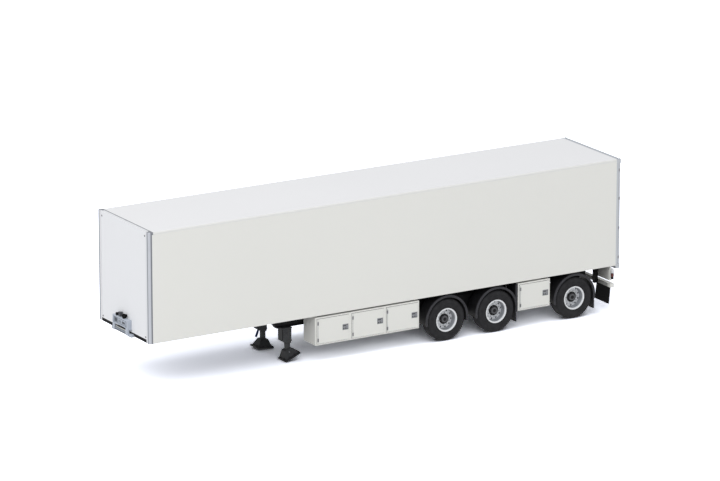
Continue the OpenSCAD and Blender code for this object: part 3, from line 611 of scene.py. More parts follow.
def tyre_mesh():
    """A truck tyre with four grooves, shoulder slots and rings on its sidewalls."""
    half, r0, r1 = TYRE_HALF, RIM_R, TYRE_R
    side = [
        (r0, half - 0.5, 0), (r0 + 0.22, half - 0.3, 0), (r0 + 0.5, half - 0.16, 0),
        (r0 + 0.7, half - 0.14, 0), (r0 + 0.78, half - 0.24, 0), (r0 + 0.95, half - 0.22, 0),
        (r0 + 1.03, half - 0.08, 0),
        (r0 + 1.5, half, 0), (r0 + 2.15, half, 0), (r0 + 2.25, half - 0.1, 0), (r0 + 2.42, half - 0.1, 0),
        (r0 + 2.52, half - 0.02, 0), (r0 + 2.95, half - 0.12, 0), (r0 + 3.3, half - 0.26, 0),
        (r1 - 1.15, half - 0.34, 0), (r1 - 0.95, half - 0.42, 0.03), (r1 - 0.7, half - 0.52, 0.1),
        (r1 - 0.35, half - 0.76, 0.18), (r1 - 0.1, half - 1.05, 0.24), (r1 - 0.02, half - 1.35, 0.28),
        (r1, half - 1.6, 0.28),
    ]
    groove = r1 - 0.38
    crown = [(r1, 1.75, 0.3), (r1, 1.6, 0), (groove, 1.52, 0), (groove, 1.26, 0), (r1, 1.18, 0),
             (r1, 0.56, 0), (groove, 0.48, 0), (groove, 0.22, 0), (r1, 0.14, 0)]
    outer = side + crown
    section = outer + [(r, -h, s) for r, h, s in reversed(outer)]
    pitch, pitches = (0.0, 0.58, 0.68, 0.92), 56
    turns = [2 * pi * (k + f) / pitches for k in range(pitches) for f in pitch]
    slotted = [f > 0.6 for k in range(pitches) for f in pitch]
    bm = bmesh.new()
    rings = []
    for r, h, slot in section:
        skew = pi / pitches if h < 0 else 0.0
        depths = [r - slot * cut for cut in slotted]
        rings.append([
            bm.verts.new((depth * cos(a + skew), h, depth * sin(a + skew)))
            for a, depth in zip(turns, depths)
        ])
    join_rings(bm, rings)
    part = Part()
    part.take(bm, 0)
    return part.mesh("tyre", [TYRE], 30)


def ring_of(count, radius, y, turn=0.0):
    """Angles and places of pieces spaced evenly round the wheel's axis."""
    for k in range(count):
        a = 2 * pi * (k + turn) / count
        yield a, (radius * cos(a), y, radius * sin(a))


def rim_mesh():
    """Rim, dished disc with ten round vents, and the hub that runs on the axle's stub."""
    r, e = RIM_R, RIM_EDGE
    top = DISC_TOP
    bore = 1.04
    part = Part()
    part.lathe([
        (bore, -e + 0.9), (3.0, -e + 0.9), (3.3, -e + 1.2), (3.3, top - 0.8), (4.7, top - 0.8),
        (5.3, top - 1.2), (5.45, -e + 0.6), (5.6, -e), (r, -e), (r, -e + 0.5), (r - 0.06, 0),
        (r, e - 0.35), (r - 0.02, e - 0.1), (r - 0.12, e), (r - 0.5, e), (r - 0.68, e - 0.1),
        (r - 0.76, e - 0.34), (r - 0.8, e - 0.75), (r - 0.95, e - 0.95), (r - 0.98, top + 1.0),
        (r - 1.06, top + 0.35), (r - 1.25, top + 0.05), (3.85, top), (3.62, top + 0.05),
        (3.55, top + 0.35), (3.3, top + 0.45), (2.85, top + 0.45), (2.8, top + 0.3),
        (bore + 0.5, top + 0.3), (bore, top + 0.3),
    ], (0, 0, 0), ACROSS, 0, 96)
    # Faces on the outer lip take a paler silver as a painted highlight, and faces inside the barrel take a
    # darker one as painted shade
    for f in part.bm.faces:
        spot = f.calc_center_median()
        reach = hypot(spot.x, spot.z)
        if spot.y > e - 0.6 and reach > r - 0.8:
            f.material_index = 3
        elif reach > r - 1.3 and top + 0.02 < spot.y < e - 0.2 and reach < r - 0.75:
            f.material_index = 2
    rim_mats = [WHEEL_SILVER, DARK_FITTING, BARREL_SHADE, LIP_HIGHLIGHT]
    rim = stand("rim_blank", part.mesh("rim_blank", rim_mats))
    cutters = Part()
    for _, spot in ring_of(10, 4.32, top - 1.6, 0.5):
        cutters.lathe(rod(0.46, 0, 3.2), spot, ACROSS, 1, 18)
    cutter = stand("vents", cutters.mesh("vents", rim_mats))
    cut = rim.modifiers.new("vents", "BOOLEAN")
    cut.object = cutter
    cut.operation = "DIFFERENCE"
    cut.solver = "EXACT"
    bpy.context.view_layer.update()
    made = bpy.data.meshes.new_from_object(rim.evaluated_get(bpy.context.evaluated_depsgraph_get()))
    for o in (rim, cutter):
        bpy.data.objects.remove(o)
    part = Part()
    part.bm.from_mesh(made)
    bmesh.ops.scale(part.bm, vec=(1000, 1000, 1000), verts=part.bm.verts)
    for a, spot in ring_of(10, 3.22, top + 0.41):
        part.lathe(button(0.26, 0.28, 0.2, 0.36), spot, ACROSS, 2, 6, a)
    return part.mesh("rim", rim_mats, 32)


def cap_mesh():
    """The black hub cap with its eight-sided centre."""
    top = DISC_TOP
    base = STUB_Y + 0.12
    part = Part()
    part.lathe([(0, base), (2.62, base), (2.7, base + 0.1), (2.7, base + 0.22), (2.55, base + 0.36),
                (2.12, base + 0.42), (2.05, base + 0.34), (1.9, base + 0.34), (0, base + 0.34)],
               (0, 0, 0), ACROSS, 0, 40)
    high = top + CAP_H
    part.lathe([(0, base + 0.3), (1.78, base + 0.3), (1.78, high - 0.16), (1.66, high - 0.06),
                (1.3, high - 0.04), (1.22, high - 0.14), (0, high - 0.14)],
               (0, 0, 0), ACROSS, 1, 8, pi / 8)
    part.lathe([(0, high - 0.2), (0.95, high - 0.2), (0.92, high - 0.06), (0.7, high), (0, high)],
               (0, 0, 0), ACROSS, 0, 20)
    for a, spot in ring_of(8, 2.32, base + 0.36):
        part.lathe(button(0.17, 0.2, 0.12, 0.26), spot, ACROSS, 1, 6, a)
    return part.mesh("hub_cap", [BLACK_PLASTIC, DARK_FITTING], 32)


WHEEL_PARTS = (
    ("tyre_tread", tyre_mesh(), "tyre_rubber", "tyre"), ("rim", rim_mesh(), "wheel_silver", "wheel"),
    ("hub_cap", cap_mesh(), "black_plastic", None),
)
for side, sign in SIDES:
    for i in (1, 2, 3):
        lo, hi = box_of(f"{side}_tyre_{i}")
        turned = Matrix.Rotation(0 if sign > 0 else pi, 4, "Z") @ Matrix.Rotation(0.21 * i, 4, "Y")
        for name, mesh, slot, stand_in in WHEEL_PARTS:
            me = mesh.copy()
            me.transform(turned)
            place(me, f"{side}_{name}_{i}", f"{side}_wheelset_{i}",
                  [f"{side}_{stand_in}_{i}"] if stand_in else (), Matrix.Translation((lo + hi) / 2000))


# ---------- Front ----------

wall_lo, wall_hi = box_of("front_wall")
part = Part()
for y in (wall_lo.y + 0.95, wall_hi.y - 0.95):
    for z in (wall_lo.z + 1.4, wall_hi.z - 2.2):
        part.rivet((wall_hi.x - 0.01, y, z), ALONG, 0.5, 0.12)
part.done("front_wall_screws", [DARK_FITTING])

lo, hi = box_of("connection_bracket")
skin = 0.7
half = hi.y - 2.4
low, high = lo.z + 0.6, hi.z
slot_z, panel_z, wing_z = low + 1.6, low + 3.4, low + 0.8
gap = 0.03
part = Part()
for sign in (1, -1):
    cheek = [(lo.x, high - gap), (hi.x - gap, high - gap), (hi.x - gap, low + gap), (lo.x, low + gap),
             (lo.x, wing_z - gap), (hi.x - 1.2, wing_z - gap), (hi.x - 1.2, panel_z - 1), (lo.x, panel_z - 1)]
    part.prism(cheek, "xz", sign * (half - skin), sign * (half - gap), bevel=0.04)
    part.box((hi.x - skin, sign * (half - 1.9), low), (hi.x, sign * half, panel_z + 0.1), bevel=0.1)
    part.box((lo.x, sign * (half - skin - 0.1), lo.z), (hi.x - skin - gap, sign * hi.y, wing_z), bevel=0.12)
    part.rivet((hi.x - 0.02, sign * (half - 0.95), low + 0.8), ALONG, 0.26, 0.02, 3)
    part.rivet((hi.x - 0.31, sign * (half - 1.1), high - 0.9), ALONG, 0.28, 0.12, 1)
part.box((lo.x, -half, high - 0.6), (hi.x, half, high), bevel=0.12)
part.box((hi.x - skin - gap, -half + 0.08, panel_z + gap), (hi.x - 0.32, half - 0.08, high - 0.3), 2, 0.05)
part.box((hi.x - skin, -half + 1.8, panel_z - gap), (hi.x - 0.05, half - 1.8, panel_z + 0.5), bevel=0.06)
part.box((hi.x - skin, -half + 1.8, low + 0.8), (hi.x - 0.05, half - 1.8, slot_z), 2, 0.08)
part.box((hi.x - skin - gap, -half + 1.8, low + gap), (hi.x - 0.35, half - 1.8, low + 1.1), 3, 0.04)
# A black sheet across the back of the slot, painted shade for the dark inside of the slot
part.box((lo.x, -half + 1.5, low + gap), (lo.x + 0.12, half - 1.5, panel_z), 5, 0)
part.box((hi.x - 1.1, -half + 1.9, slot_z - 0.6), (hi.x - 0.8, half - 1.9, slot_z + 0.3), 4, 0.04)
part.box((hi.x - 0.4, -2.2, panel_z + 0.95), (hi.x - 0.14, half - 2.0, high - 1.0), 0, 0.1)
part.box((hi.x - 0.36, -1.6, panel_z + 1.35), (hi.x - 0.06, 1.2, high - 1.45), 2, 0.08)
part.box((hi.x - 0.36, 2.0, panel_z + 1.35), (hi.x - 0.08, half - 2.5, high - 1.45), 3, 0.08)
part.lathe([(0, 0), (0.95, 0), (0.95, 0.24), (0.78, 0.3), (0.7, 0.16), (0, 0.16)],
           (hi.x - 0.36, -4.4, panel_z + 1.9), ALONG, 3, 24)
part.done("front_bracket",
          [BRACKET, FITTING, PANEL_GREY, SHADOW_GREY, WHITE, BLACK_PLASTIC], ["connection_bracket"])

c_lo, c_hi = box_of("connectors")
part = Part()
length = c_hi.x - c_lo.x
for y, r, rise, m in ((c_lo.y + 0.8, 0.8, 0, 0), (c_lo.y + 3.6, 0.8, 1.0, 1), (c_hi.y - 1.2, 1.2, 0, 0)):
    at = (c_lo.x, y, c_lo.z + r + rise)
    part.lathe([(0, 0), (r * 0.62, 0), (r * 0.62, length * 0.3), (r * 0.9, length * 0.34),
                (r * 0.9, length * 0.52), (r * 0.74, length * 0.56), (r * 0.74, length * 0.74),
                (r, length * 0.78), (r, length - 0.08), (r * 0.92, length), (r * 0.68, length),
                (r * 0.62, length - 0.22), (0, length - 0.22)], at, ALONG, m, 28)
    pin = [(0, length - 0.3), (r * 0.3, length - 0.3), (r * 0.24, length - 0.04), (0, length)]
    part.lathe(pin, at, ALONG, m, 12)
    if rise:
        foot_top = c_lo.z + rise + r * 0.5
        part.box((c_lo.x + 0.3, y - 0.45, c_lo.z), (c_hi.x - 0.3, y + 0.45, foot_top), 1, 0.08)
part.done("front_couplings", [RUBBER, COUPLING_GREY], ["connectors"])

k_lo, k_hi = box_of("kingpin")
r, tall = (k_hi.x - k_lo.x) / 2, k_hi.z - k_lo.z
part = Part()
part.lathe([(0, 0), (r * 0.8, 0), (r, 0.16), (r, 0.75), (r * 0.72, 0.95), (r * 0.72, 1.9),
            (r, 2.15), (r, tall), (0, tall)], (k_lo.x + r, 0, k_lo.z), UP, 0, 36)
part.done("kingpin_turned", [STEEL], ["kingpin"])

lo, hi = box_of("coupling_plate")
part = Part()
for x in (lo.x + 2, (lo.x + hi.x) / 2, hi.x - 2):
    for sign in (1, -1):
        part.bolt((x, sign * (hi.y - 1.6), lo.z), (0, 0, -1), 0.42, 0.32)
part.done("coupling_plate_bolts", [BLACK_PAINT])


# ---------- Landing legs ----------

part = Part()
for side, _ in SIDES:
    lo, hi = box_of(f"{side}_landing_leg")
    foot_top = box_of(f"{side}_foot")[1].z
    rail_z = hi.z
    y0, y1 = lo.y, hi.y
    mid_y = (y0 + y1) / 2
    housing_low = rail_z - 8
    tube_x = lo.x + 1.4
    part.box((lo.x - 0.1, y0 - 0.3, rail_z - 0.7), (hi.x - 0.1, y1 + 0.3, rail_z + 0.02), 0, 0.1)
    for y in (y0, y1):
        out = (0, 1 if y == y1 else -1, 0)
        for x, z in ((hi.x - 0.9, rail_z - 1.6), (lo.x + 0.9, rail_z - 1.6),
                     (lo.x + 0.9, housing_low + 1.8), (hi.x - 0.9, housing_low + 2.6)):
            part.bolt((x, y, z), out, 0.28, 0.26)
        part.lathe(button(1.25, 0.14, 1.1, 0.22), ((lo.x + hi.x) / 2 + 0.2, y, rail_z - 3.6), out, 0, 24)
        part.box((hi.x - 0.55, y - 0.16, housing_low + 1.8), (hi.x - 0.2, y + 0.16, rail_z - 0.8), 1, 0.08)
    part.box((lo.x - 0.5, mid_y - 1.7, housing_low + 0.72),
             (lo.x + 0.8, mid_y + 1.7, housing_low + 1.3), 0, 0.1)
    part.box((tube_x - 1.5, mid_y - 1.5, housing_low - 0.35),
             (tube_x + 1.5, mid_y + 1.5, housing_low + 0.35), 1, 0.1)
    pivot = foot_top - 2.2
    for y in (mid_y - 2.1, mid_y + 2.1):
        out = (0, 1 if y > mid_y else -1, 0)
        part.lathe(button(0.62, 0.1, 0.5, 0.2, -0.5), (tube_x, y, pivot), out, 2, 16)
        part.bolt((tube_x, y + out[1] * 0.18, pivot), out, 0.3, 0.24, 2)
part.done("landing_leg_fittings", [LEG_GREY, BLACK_PAINT, DARK_FITTING])

# Ribs over each foot's base plate, lying in the plate's own tilt
for side, _ in SIDES:
    me = NODES[f"{side}_foot"].data
    lo, hi = box_of(f"{side}_foot")
    face = max((p for p in me.polygons if p.normal.z < -0.85), key=lambda p: p.area)
    down = face.normal.copy()
    tilt = atan2(-down.x, -down.z)
    spots = [me.vertices[i].co * 1000 for p in me.polygons if p.normal.dot(down) > 0.999 for i in p.vertices]
    base = Vector((min(c[k] for c in spots) + max(c[k] for c in spots)) / 2 for k in range(3))
    base.y = (lo.y + hi.y) / 2
    turn = Matrix.Translation(base) @ Matrix.Rotation(tilt, 4, "Y")
    part = Part()
    for end in (-1, 1):
        part.box((end * 4.25, -3.7, 0.5), (end * 4.58, 3.7, 1.1), 1, 0.1, turn)
        for y in (-1.7, 1.7):
            part.box((end * 1.6, y - 0.22, 0.5), (end * 4.4, y + 0.22, 1.5), 1, 0.08, turn)
    for y in (-1, 1):
        part.box((-3.6, y * 3.55, 0.5), (3.6, y * 3.9, 1.0), 1, 0.1, turn)
        for x in (-1.4, 1.4):
            part.box((x - 0.2, y * 1.6, 0.5), (x + 0.2, y * 3.7, 1.4), 1, 0.08, turn)
    part.done(f"{side}_foot_ribs", [FOOT_GREY, BLACK_PAINT])

lo, hi = box_of("leg_crank")
part = Part()
r = 0.6
top = Vector((lo.x + r, lo.y + r, hi.z - r))
low_end = Vector((hi.x - r, lo.y + r, lo.z + 0.2))
path = rounded((lo.x + r, hi.y, hi.z - r), top, low_end, 1.0, 6)
part.tube(path, r * 0.96, 0, 12)
part.tube([low_end + (top - low_end) * 0.02, low_end + (top - low_end) * 0.36], r * 1.0, 0, 12)
part.lathe(button(0.8, 0.4, 0.68, 0.55), (lo.x + r, hi.y - 0.02, hi.z - r), (0, -1, 0), 0, 16)
part.done("leg_crank_bar", [CRANK_BLUE], ["leg_crank"])


# ---------- Lockers ----------

for side, sign in SIDES:
    part = Part()
    out = (0, sign, 0)
    doors = solids(f"{side}_locker_doors")
    for lo, hi in doors:
        face = hi.y if sign > 0 else lo.y

        def plate(x0, x1, z0, z1, t, m, bevel=0.05):
            """A plate let into the door's face that stands t proud of it."""
            part.box((x0, face - sign * 0.2, z0), (x1, face + sign * t, z1), m, bevel)

        hinge_x = hi.x - 0.42
        y = face + sign * 0.02
        part.tube([(hinge_x, y, lo.z + 0.5), (hinge_x, y, hi.z - 0.5)], 0.1, 0, 8)
        y = face + sign * 0.12
        for z in (lo.z + 1.9, hi.z - 2.2):
            plate(hinge_x - 0.42, hinge_x + 0.36, z - 0.85, z + 0.85, 0.1, 0)
            part.tube([(hinge_x, y, z - 0.8), (hinge_x, y, z + 0.8)], 0.2, 1, 10)
            for dz in (-0.5, 0.5):
                part.rivet((hinge_x - 0.27, face + sign * 0.09, z + dz), out, 0.1, 0.06, 1)
        mid = (lo.z + hi.z) / 2 + 0.2
        x0 = lo.x + 0.35
        plate(x0, x0 + 3.4, mid - 1.5, mid + 1.5, 0.07, 0, 0.06)
        plate(x0 + 0.25, x0 + 3.15, mid - 1.2, mid + 1.2, 0.1, 1)
        plate(x0 + 0.45, x0 + 1.2, mid - 0.9, mid + 0.9, 0.15, 0)
        plate(x0 + 1.45, x0 + 2.95, mid - 0.3, mid + 0.3, 0.2, 0, 0.06)
        plate(x0 + 1.95, x0 + 2.35, mid - 0.95, mid - 0.4, 0.15, 0, 0.04)
        part.lathe(button(0.34, 0.2, 0.26, 0.26), (x0 + 2.45, face, mid), out, 0, 14)
    part.done(f"{side}_locker_fittings", [FITTING, DARK_FITTING])
    part = Part()
    seal = 0.16
    for lo, hi in doors:
        back = lo.y if sign > 0 else hi.y
        x0, x1 = lo.x - seal, hi.x + seal
        for a0, a1, z0, z1 in ((x0, x1, lo.z - seal, lo.z), (x0, x1, hi.z, hi.z + seal),
                               (x0, lo.x, lo.z, hi.z), (hi.x, x1, lo.z, hi.z)):
            part.box((a0, back - sign * 0.1, z0), (a1, back + sign * 0.03, z1), 0, 0)
    part.done(f"{side}_locker_seals", [DARK_FITTING])
    part = Part()
    for lo, hi in solids(f"{side}_lockers"):
        inner, outer = (lo.y, hi.y) if sign > 0 else (hi.y, lo.y)
        for x in (lo.x + 3, hi.x - 3):
            part.box((x - 0.9, inner - sign * 0.05, hi.z - 0.1),
                     (x + 0.9, outer - sign * 1.5, hi.z + 0.9), 0, 0.1)
    part.done(f"{side}_locker_hangers", [BLACK_PAINT])


# ---------- Mudguards, axles and suspension ----------

for side, sign in SIDES:
    part = Part()
    bolt_y = sign * 17.9
    for lo, hi in solids(f"{side}_mudguards"):
        radius = (hi.x - lo.x) / 2
        centre = Vector((lo.x + radius, bolt_y, hi.z - radius))
        for a in (58, 90, 122):
            out = Vector((cos(radians(a)), 0, sin(radians(a))))
            part.rivet(centre + out * (radius - 0.6), out, 0.36, 0.2)
    part.done(f"{side}_mudguard_bolts", [BLACK_PLASTIC])

# A black plate along the rail over the first two wheels, a dark sheet put there as painted shade so the floor
# doesn't show through
for side, sign in SIDES:
    first, second = solids(f"{side}_mudguards")[:2]
    outer = sign * box_of("left_rail")[1].y
    low, high = 9.4, 18.6
    part = Part()
    part.box((second[0].x - 1.2, outer - sign * 0.04, low),
             (first[1].x + 0.6, outer + sign * 0.3, high), 0, 0.08)
    part.done(f"{side}_shade_plate", [BLACK_PAINT])

part = Part()
for lo, hi in solids("air_springs"):
    r, h = (hi.x - lo.x) / 2, hi.z - lo.z
    part.lathe([(0, 0), (r * 0.72, 0), (r * 0.68, h * 0.24), (r * 0.86, h * 0.3), (r * 0.98, h * 0.4),
                (r, h * 0.48), (r * 0.96, h * 0.56), (r * 0.84, h * 0.6), (r * 0.96, h * 0.65),
                (r, h * 0.73), (r * 0.96, h * 0.82), (r * 0.84, h * 0.88), (r * 0.84, h), (0, h)],
               (lo.x + r, (lo.y + hi.y) / 2, lo.z), UP, 0, 36)
part.done("air_spring_bellows", [RUBBER], ["air_springs"])

part = Part()
for lo, hi in solids("suspension_arms"):
    for y, out in ((lo.y, (0, -1, 0)), (hi.y, ACROSS)):
        part.bolt((hi.x - 1.3, y, lo.z + 1.3), out, 0.5, 0.35)
for i in (1, 2, 3):
    lo, hi = box_of(f"axle_{i}")
    x, z = (lo.x + hi.x) / 2, (lo.z + hi.z) / 2
    for sign in (1, -1):

        def at(dx, y, dz):
            """A place given by its offset from the axle and its distance from the middle."""
            return (x + dx, sign * y, z + dz)

        for dx in (-0.9, 0.9):
            u_bolt = rounded(at(dx, 10.6, 3.6), at(dx, 10.6, -1.75), at(dx, 13.4, -1.75), 0.4, 3)
            part.tube([*u_bolt, at(dx, 13.4, 3.6)], 0.24, 0, 8)
        part.box(at(-1.5, 10.2, 3.05), at(1.5, 13.6, 3.4), 0, 0.08)
        chamber = [(0, 0), (1.35, 0), (1.5, 0.3), (1.5, 0.9), (1.62, 0.95), (1.62, 1.2), (1.5, 1.25),
                   (1.5, 1.9), (1.3, 2.2), (0, 2.2)]
        part.lathe(chamber, at(1.7, 7.2, 0.2), (1, 0, 0.12), 0, 28)
        part.tube([at(3.9, 7.2, 0.5), at(4.6, 7.2, 1.0), at(5.2, 6.0, 3.0), at(5.0, 4.0, 5.2),
                   at(4.2, 2.0, 6.4)], 0.22, 1, 8)
        part.tube([at(-0.8, 9.6, 1.2), at(1.6, 9.6, 3.6), at(3.4, 10.8, 7.2)], 0.42, 0, 10)
        part.tube([at(0.6, 9.6, 2.6), at(2.6, 10.3, 5.6)], 0.62, 0, 14)
part.done("axle_fittings", [BLACK_PAINT, RUBBER])

lo, hi = box_of("air_tanks")
r = (hi.z - lo.z) / 2
part = Part()
length = hi.y - lo.y
dome = [(r * sin(a), 1.5 * (1 - cos(a))) for a in (0.0, 0.35, 0.7, 1.05, 1.4)]
tank = [*dome, (r, 1.6)]
tank += [(a, length - b) for a, b in reversed(tank)]
band = [(r - 0.2, 0), (r - 0.005, 0), (r - 0.005, 0.8), (r - 0.2, 0.8)]
for x in (hi.x - r, lo.x + r):
    z = lo.z + r
    part.lathe(tank, (x, lo.y, z), ACROSS, 0, 40)
    for y in (lo.y + 4.5, hi.y - 5.3):
        part.lathe(band, (x, y, z), ACROSS, 1, 40)
    part.lathe(rod(0.5, 0, 0.12), (x, (lo.y + hi.y) / 2, lo.z + 0.14), (0, 0, -1), 1, 12)
part.done("air_tank_shells", [BLACK_PAINT, DARK_FITTING], ["air_tanks"])

part = Part()
rail_lo, rail_hi = box_of("left_rail")
members = solids("cross_members")
for sign in (1, -1):
    y = sign * ((rail_lo.y + rail_hi.y) / 2 + 0.4)
    for lo, hi in members:
        x = (lo.x + hi.x) / 2
        if hi.z > rail_hi.z - 1 or abs(x - box_of("left_landing_leg")[0].x) < 9:
            continue
        for dx in (-0.55, 0.55):
            for z in (lo.z + 0.7, hi.z - 0.7):
                part.bolt((x + dx, y, z), (0, sign, 0), 0.24, 0.22)
for sign in (1, -1):
    x0, x1 = members[2][1].x, members[-1][0].x
    z = members[-1][1].z + 0.35
    hose = [(x0 + 1 - (x0 - x1) * t / 12, sign * (6.2 + 0.25 * sin(t * 1.7)), z) for t in range(13)]
    part.tube(hose, 0.3, 1, 8)
part.done("rail_fittings", [BLACK_PAINT, RUBBER])


# ---------- Rear underside ----------

part = Part()
for lo, hi in solids("tail_lamps"):
    part.box((hi.x - 0.35, lo.y, lo.z), (hi.x, hi.y, hi.z), 0, 0.1)
    inner, outer = (lo.y, hi.y) if lo.y > 0 else (hi.y, lo.y)
    wide = outer - inner
    for a, b, m in ((0.03, 0.30, 3), (0.32, 0.60, 2), (0.62, 0.97, 1)):
        part.box((lo.x, inner + a * wide, lo.z + 0.25), (hi.x - 0.2, inner + b * wide, hi.z - 0.25), m, 0.14)
part.done("tail_lamp_units", [BLACK_PLASTIC, RED_LENS, AMBER_LENS, CLEAR_LENS], ["tail_lamps"])

part = Part()
for lo, hi in solids("marker_lamps"):
    sign = 1 if lo.y > 0 else -1
    r = (hi.x - lo.x) / 2
    board_y, outer = (lo.y, hi.y) if sign > 0 else (hi.y, lo.y)
    x, y = lo.x + r, outer - sign * r
    tall = hi.z - lo.z
    arm = rounded((x, board_y, lo.z + 0.7), (x, y, lo.z + 0.5), (x, y, lo.z + tall * 0.3), 0.5, 4)
    part.tube(arm, 0.34, 0, 10)
    part.lathe([(0, 0), (r * 0.7, 0), (r * 0.86, tall * 0.06), (r * 0.86, tall * 0.24), (0, tall * 0.24)],
               (x, y, lo.z), UP, 0, 20)
    part.lathe([(0, 0), (r * 0.86, 0), (r, tall * 0.07), (r, tall * 0.27), (r * 0.94, tall * 0.33),
                (0, tall * 0.33)], (x, y, lo.z + tall * 0.22), UP, 1, 24)
    part.lathe(rod(r * 0.9, 0, tall * 0.05), (x, y, lo.z + tall * 0.54), UP, 0, 20)
    part.lathe([(0, 0), (r * 0.94, 0), (r, tall * 0.05), (r, tall * 0.28), (r * 0.85, tall * 0.38),
                (r * 0.45, tall * 0.42), (0, tall * 0.42)], (x, y, lo.z + tall * 0.58), UP, 2, 24)
part.done("marker_lamp_units", [RUBBER, DARK_RED, CLEAR_LENS], ["marker_lamps"])

part = Part()
for lo, hi in solids("rear_flaps"):
    for y in (lo.y + 1.4, (lo.y + hi.y) / 2, hi.y - 1.4):
        part.bolt((lo.x + 0.32, y, hi.z - 1.0), (-1, 0, 0.1), 0.3, 0.22)
for lo, hi in solids("light_boards"):
    for y in (lo.y + 0.9, hi.y - 0.9):
        part.rivet((hi.x, y, hi.z - 1.0), ALONG, 0.3, 0.12)
        part.rivet((lo.x, y, hi.z - 1.0), (-1, 0, 0), 0.3, 0.12)
part.done("rear_fixings", [DARK_FITTING])


# ---------- Doors ----------

for side, sign in SIDES:
    e_lo, e_hi = box_of(f"{side}_door_edging")
    p_lo, p_hi = box_of(f"{side}_door_panel")
    face = e_lo.x
    outer = e_hi.y if sign > 0 else e_lo.y
    part = Part()
    for lo, hi in solids(f"{side}_door_locks"):
        y = (hi.y - 0.8) if sign > 0 else (lo.y + 0.8)
        r = 0.33
        x = lo.x + r
        part.tube([(x, y, lo.z + 0.1), (x, y, hi.z - 0.1)], r * 0.86, 0, 14)
        for z in (lo.z + 0.6, (lo.z + hi.z) / 2, hi.z - 0.6):
            part.box((face - 0.02, y - 0.8, z - 0.6), (face - 0.16, y + 0.8, z + 0.6), 1, 0.05)
            part.lathe(rod(r * 0.98, -0.45, 0.45), (x, y, z), UP, 1, 16)
            for dy in (-0.55, 0.55):
                part.rivet((face - 0.15, y + dy, z), (-1, 0, 0), 0.13, 0.07, 0)
        for z in (lo.z + 0.25, hi.z - 0.25):
            part.box((face - 0.05, y - 0.45, z - 0.2), (x - 0.1, y + 0.45, z + 0.2), 0, 0.06)
        z = lo.z + 0.28 * (hi.z - lo.z) + 0.35
        end = y - sign * 5.0
        part.box((x - 0.14, y - 0.42, z - 0.5), (x + 0.14, y + 0.42, z + 0.5), 1, 0.06)
        part.tube([(x, y, z), (x, y - sign * 1.2, z), (x + 0.02, y - sign * 2.4, z - 0.1),
                   (x + 0.02, end + sign * 0.3, z - 0.1)], 0.22, 0, 10)
        part.box((face - 0.02, end, z - 0.55), (face - 0.22, end + sign * 1.1, z + 0.4), 1, 0.06)
        part.box((face - 0.02, end + sign * 0.2, z - 0.45),
                 (face - 0.5, end + sign * 0.75, z - 0.25), 1, 0.04)
    part.done(f"{side}_lock_gear", [STEEL, FITTING], [f"{side}_door_locks"], f"{side}_door")

    part = Part()
    tall = e_hi.z - e_lo.z
    post_r = (e_hi.x - e_lo.x) / 2
    pivot = (e_lo.x + post_r, outer - sign * post_r)
    y0 = outer - sign * 4.6
    for t in (0.1, 0.37, 0.64, 0.9):
        z = e_lo.z + t * tall
        # The strap ends short of the pivot and thins there, to clear the frame when the door is open
        part.box((face + 0.1, y0, z - 0.42), (face - 0.14, outer - sign * 1.26, z + 0.42), 0, 0.06)
        part.box((face + 0.1, outer - sign * 1.4, z - 0.42), (face - 0.04, pivot[1], z + 0.42), 0, 0.02)
        part.lathe(rod(post_r + 0.05, -0.7, 0.7), (*pivot, z), UP, 0, 28)
        for k in (0.55, 1.6, 2.65):
            part.rivet((face - 0.13, y0 + sign * k, z), (-1, 0, 0), 0.2, 0.1, 1)
    part.done(f"{side}_door_hinges", [FITTING, DARK_FITTING], body=f"{side}_door")

    part = Part()
    w, skin_x = 0.4, p_lo.x
    for y0, y1, z0, z1 in ((p_lo.y, p_hi.y, p_lo.z, p_lo.z + w), (p_lo.y, p_hi.y, p_hi.z - w, p_hi.z),
                           (p_lo.y, p_lo.y + w, p_lo.z, p_hi.z), (p_hi.y - w, p_hi.y, p_lo.z, p_hi.z)):
        if z1 - z0 > 2 and (y0 + y1) * sign > 30:
            z0, z1 = z0 + 1.4, z1 - 1.4
        elif z1 - z0 < 2:
            y0, y1 = (y0, y1 - 0.5) if sign > 0 else (y0 + 0.5, y1)
        part.box((skin_x + 0.3, y0, z0), (skin_x - 0.06, y1, z1), 0, 0.05)
    part.done(f"{side}_door_gasket", [RUBBER], body=f"{side}_door")

lo, hi = box_of("rear_frame")
part = Part()
for y in (-6.0, 0.0, 6.0):
    part.box((lo.x + 1.0, y - 1.1, lo.z + 0.35), (hi.x - 1.15, y + 1.1, lo.z + 0.95), 0, 0.08)
part.done("rear_sill_bumpers", [RUBBER])


# ---------- Stage, light and camera ----------

bm = bmesh.new()
bmesh.ops.create_grid(bm, x_segments=8, y_segments=8, size=6)
me = bpy.data.meshes.new("floor")
bm.to_mesh(me)
bm.free()
floor = stand("floor", me)
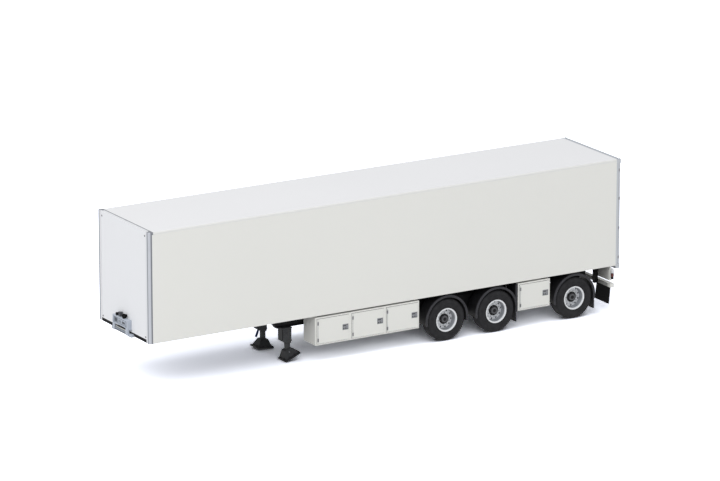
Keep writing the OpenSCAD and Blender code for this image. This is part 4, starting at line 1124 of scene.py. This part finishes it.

# The floor shows near white to the camera, with painted shade close under the model where an occlusion mask
# darkens it, and is clear from below
n = Nodes("floor")
n.tree.nodes.remove(n.tree.nodes["Principled BSDF"])
ray = n.add("ShaderNodeLightPath").outputs
# Painted contact shade: the colour the camera sees darkens where nearby parts occlude the floor
near = n.add("ShaderNodeAmbientOcclusion", {"Distance": 0.017}, samples=8)
open_sky = n.spread(near.outputs["AO"], 0.12, 0.55)
shown_colour = n.mix(open_sky, (0.28, 0.28, 0.3, 1), (1.94, 1.99, 2.14, 1))
shown = n.add("ShaderNodeBsdfDiffuse", {"Color": shown_colour})
own = n.add("ShaderNodeBsdfDiffuse", {"Color": (0.78, 0.78, 0.79, 1)})
glow = n.add("ShaderNodeEmission", {"Strength": 0.9})
clear = n.add("ShaderNodeBsdfTransparent")
seen = n.mix_shaders(ray["Is Camera Ray"], own, shown)
shiny_ray = n.sum("MAXIMUM", ray["Is Glossy Ray"], ray["Is Transmission Ray"])
above = n.mix_shaders(shiny_ray, seen, glow)
from_below = n.add("ShaderNodeNewGeometry").outputs["Backfacing"]
n.show("Material Output", n.mix_shaders(from_below, above, clear))
me.materials.append(n.block)

# The world lights the model with a soft blue white and shows plain white to the camera
n = Nodes("studio", bpy.data.worlds)
soft = n.add("ShaderNodeBackground", {"Color": (0.97, 0.98, 1.0, 1), "Strength": 0.62})
white = n.add("ShaderNodeBackground", {"Color": (1, 1, 1, 1), "Strength": 1.0})
to_camera = n.add("ShaderNodeLightPath").outputs["Is Camera Ray"]
n.show("World Output", n.mix_shaders(to_camera, soft, white))
bpy.context.scene.world = n.block


def softbox(name, at, size, power):
    """A rectangular lamp aimed at the middle of the model's height."""
    light = bpy.data.lights.new(name, "AREA")
    light.shape = "RECTANGLE"
    light.size, light.size_y = size
    light.energy = power
    o = stand(name, light)
    o.location = at
    o.rotation_mode = "QUATERNION"
    o.rotation_quaternion = (Vector((0, 0, 0.04)) - Vector(at)).to_track_quat("-Z", "Y")


softbox("key", (1.15, 0.6, 1.4), (2.8, 2.4), 26.2)
softbox("side_fill", (0.2, 2.0, 0.9), (1.6, 0.9), 6.0)

CAMERA_DOWN, CAMERA_TURN = 15.61, 148.92
cam = bpy.data.cameras.new("camera")
cam.sensor_width = 36
cam.lens = 260.75
cam.clip_start, cam.clip_end = 0.1, 20
camera = stand("camera", cam)
nose_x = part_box("front_frame")[1].x
camera.location = (nose_x + 1.1515, 2.1316, 0.7464)
camera.rotation_euler = (radians(90 - CAMERA_DOWN), 0, radians(CAMERA_TURN))
bpy.context.scene.camera = camera
bpy.context.scene.view_settings.view_transform = "Standard"
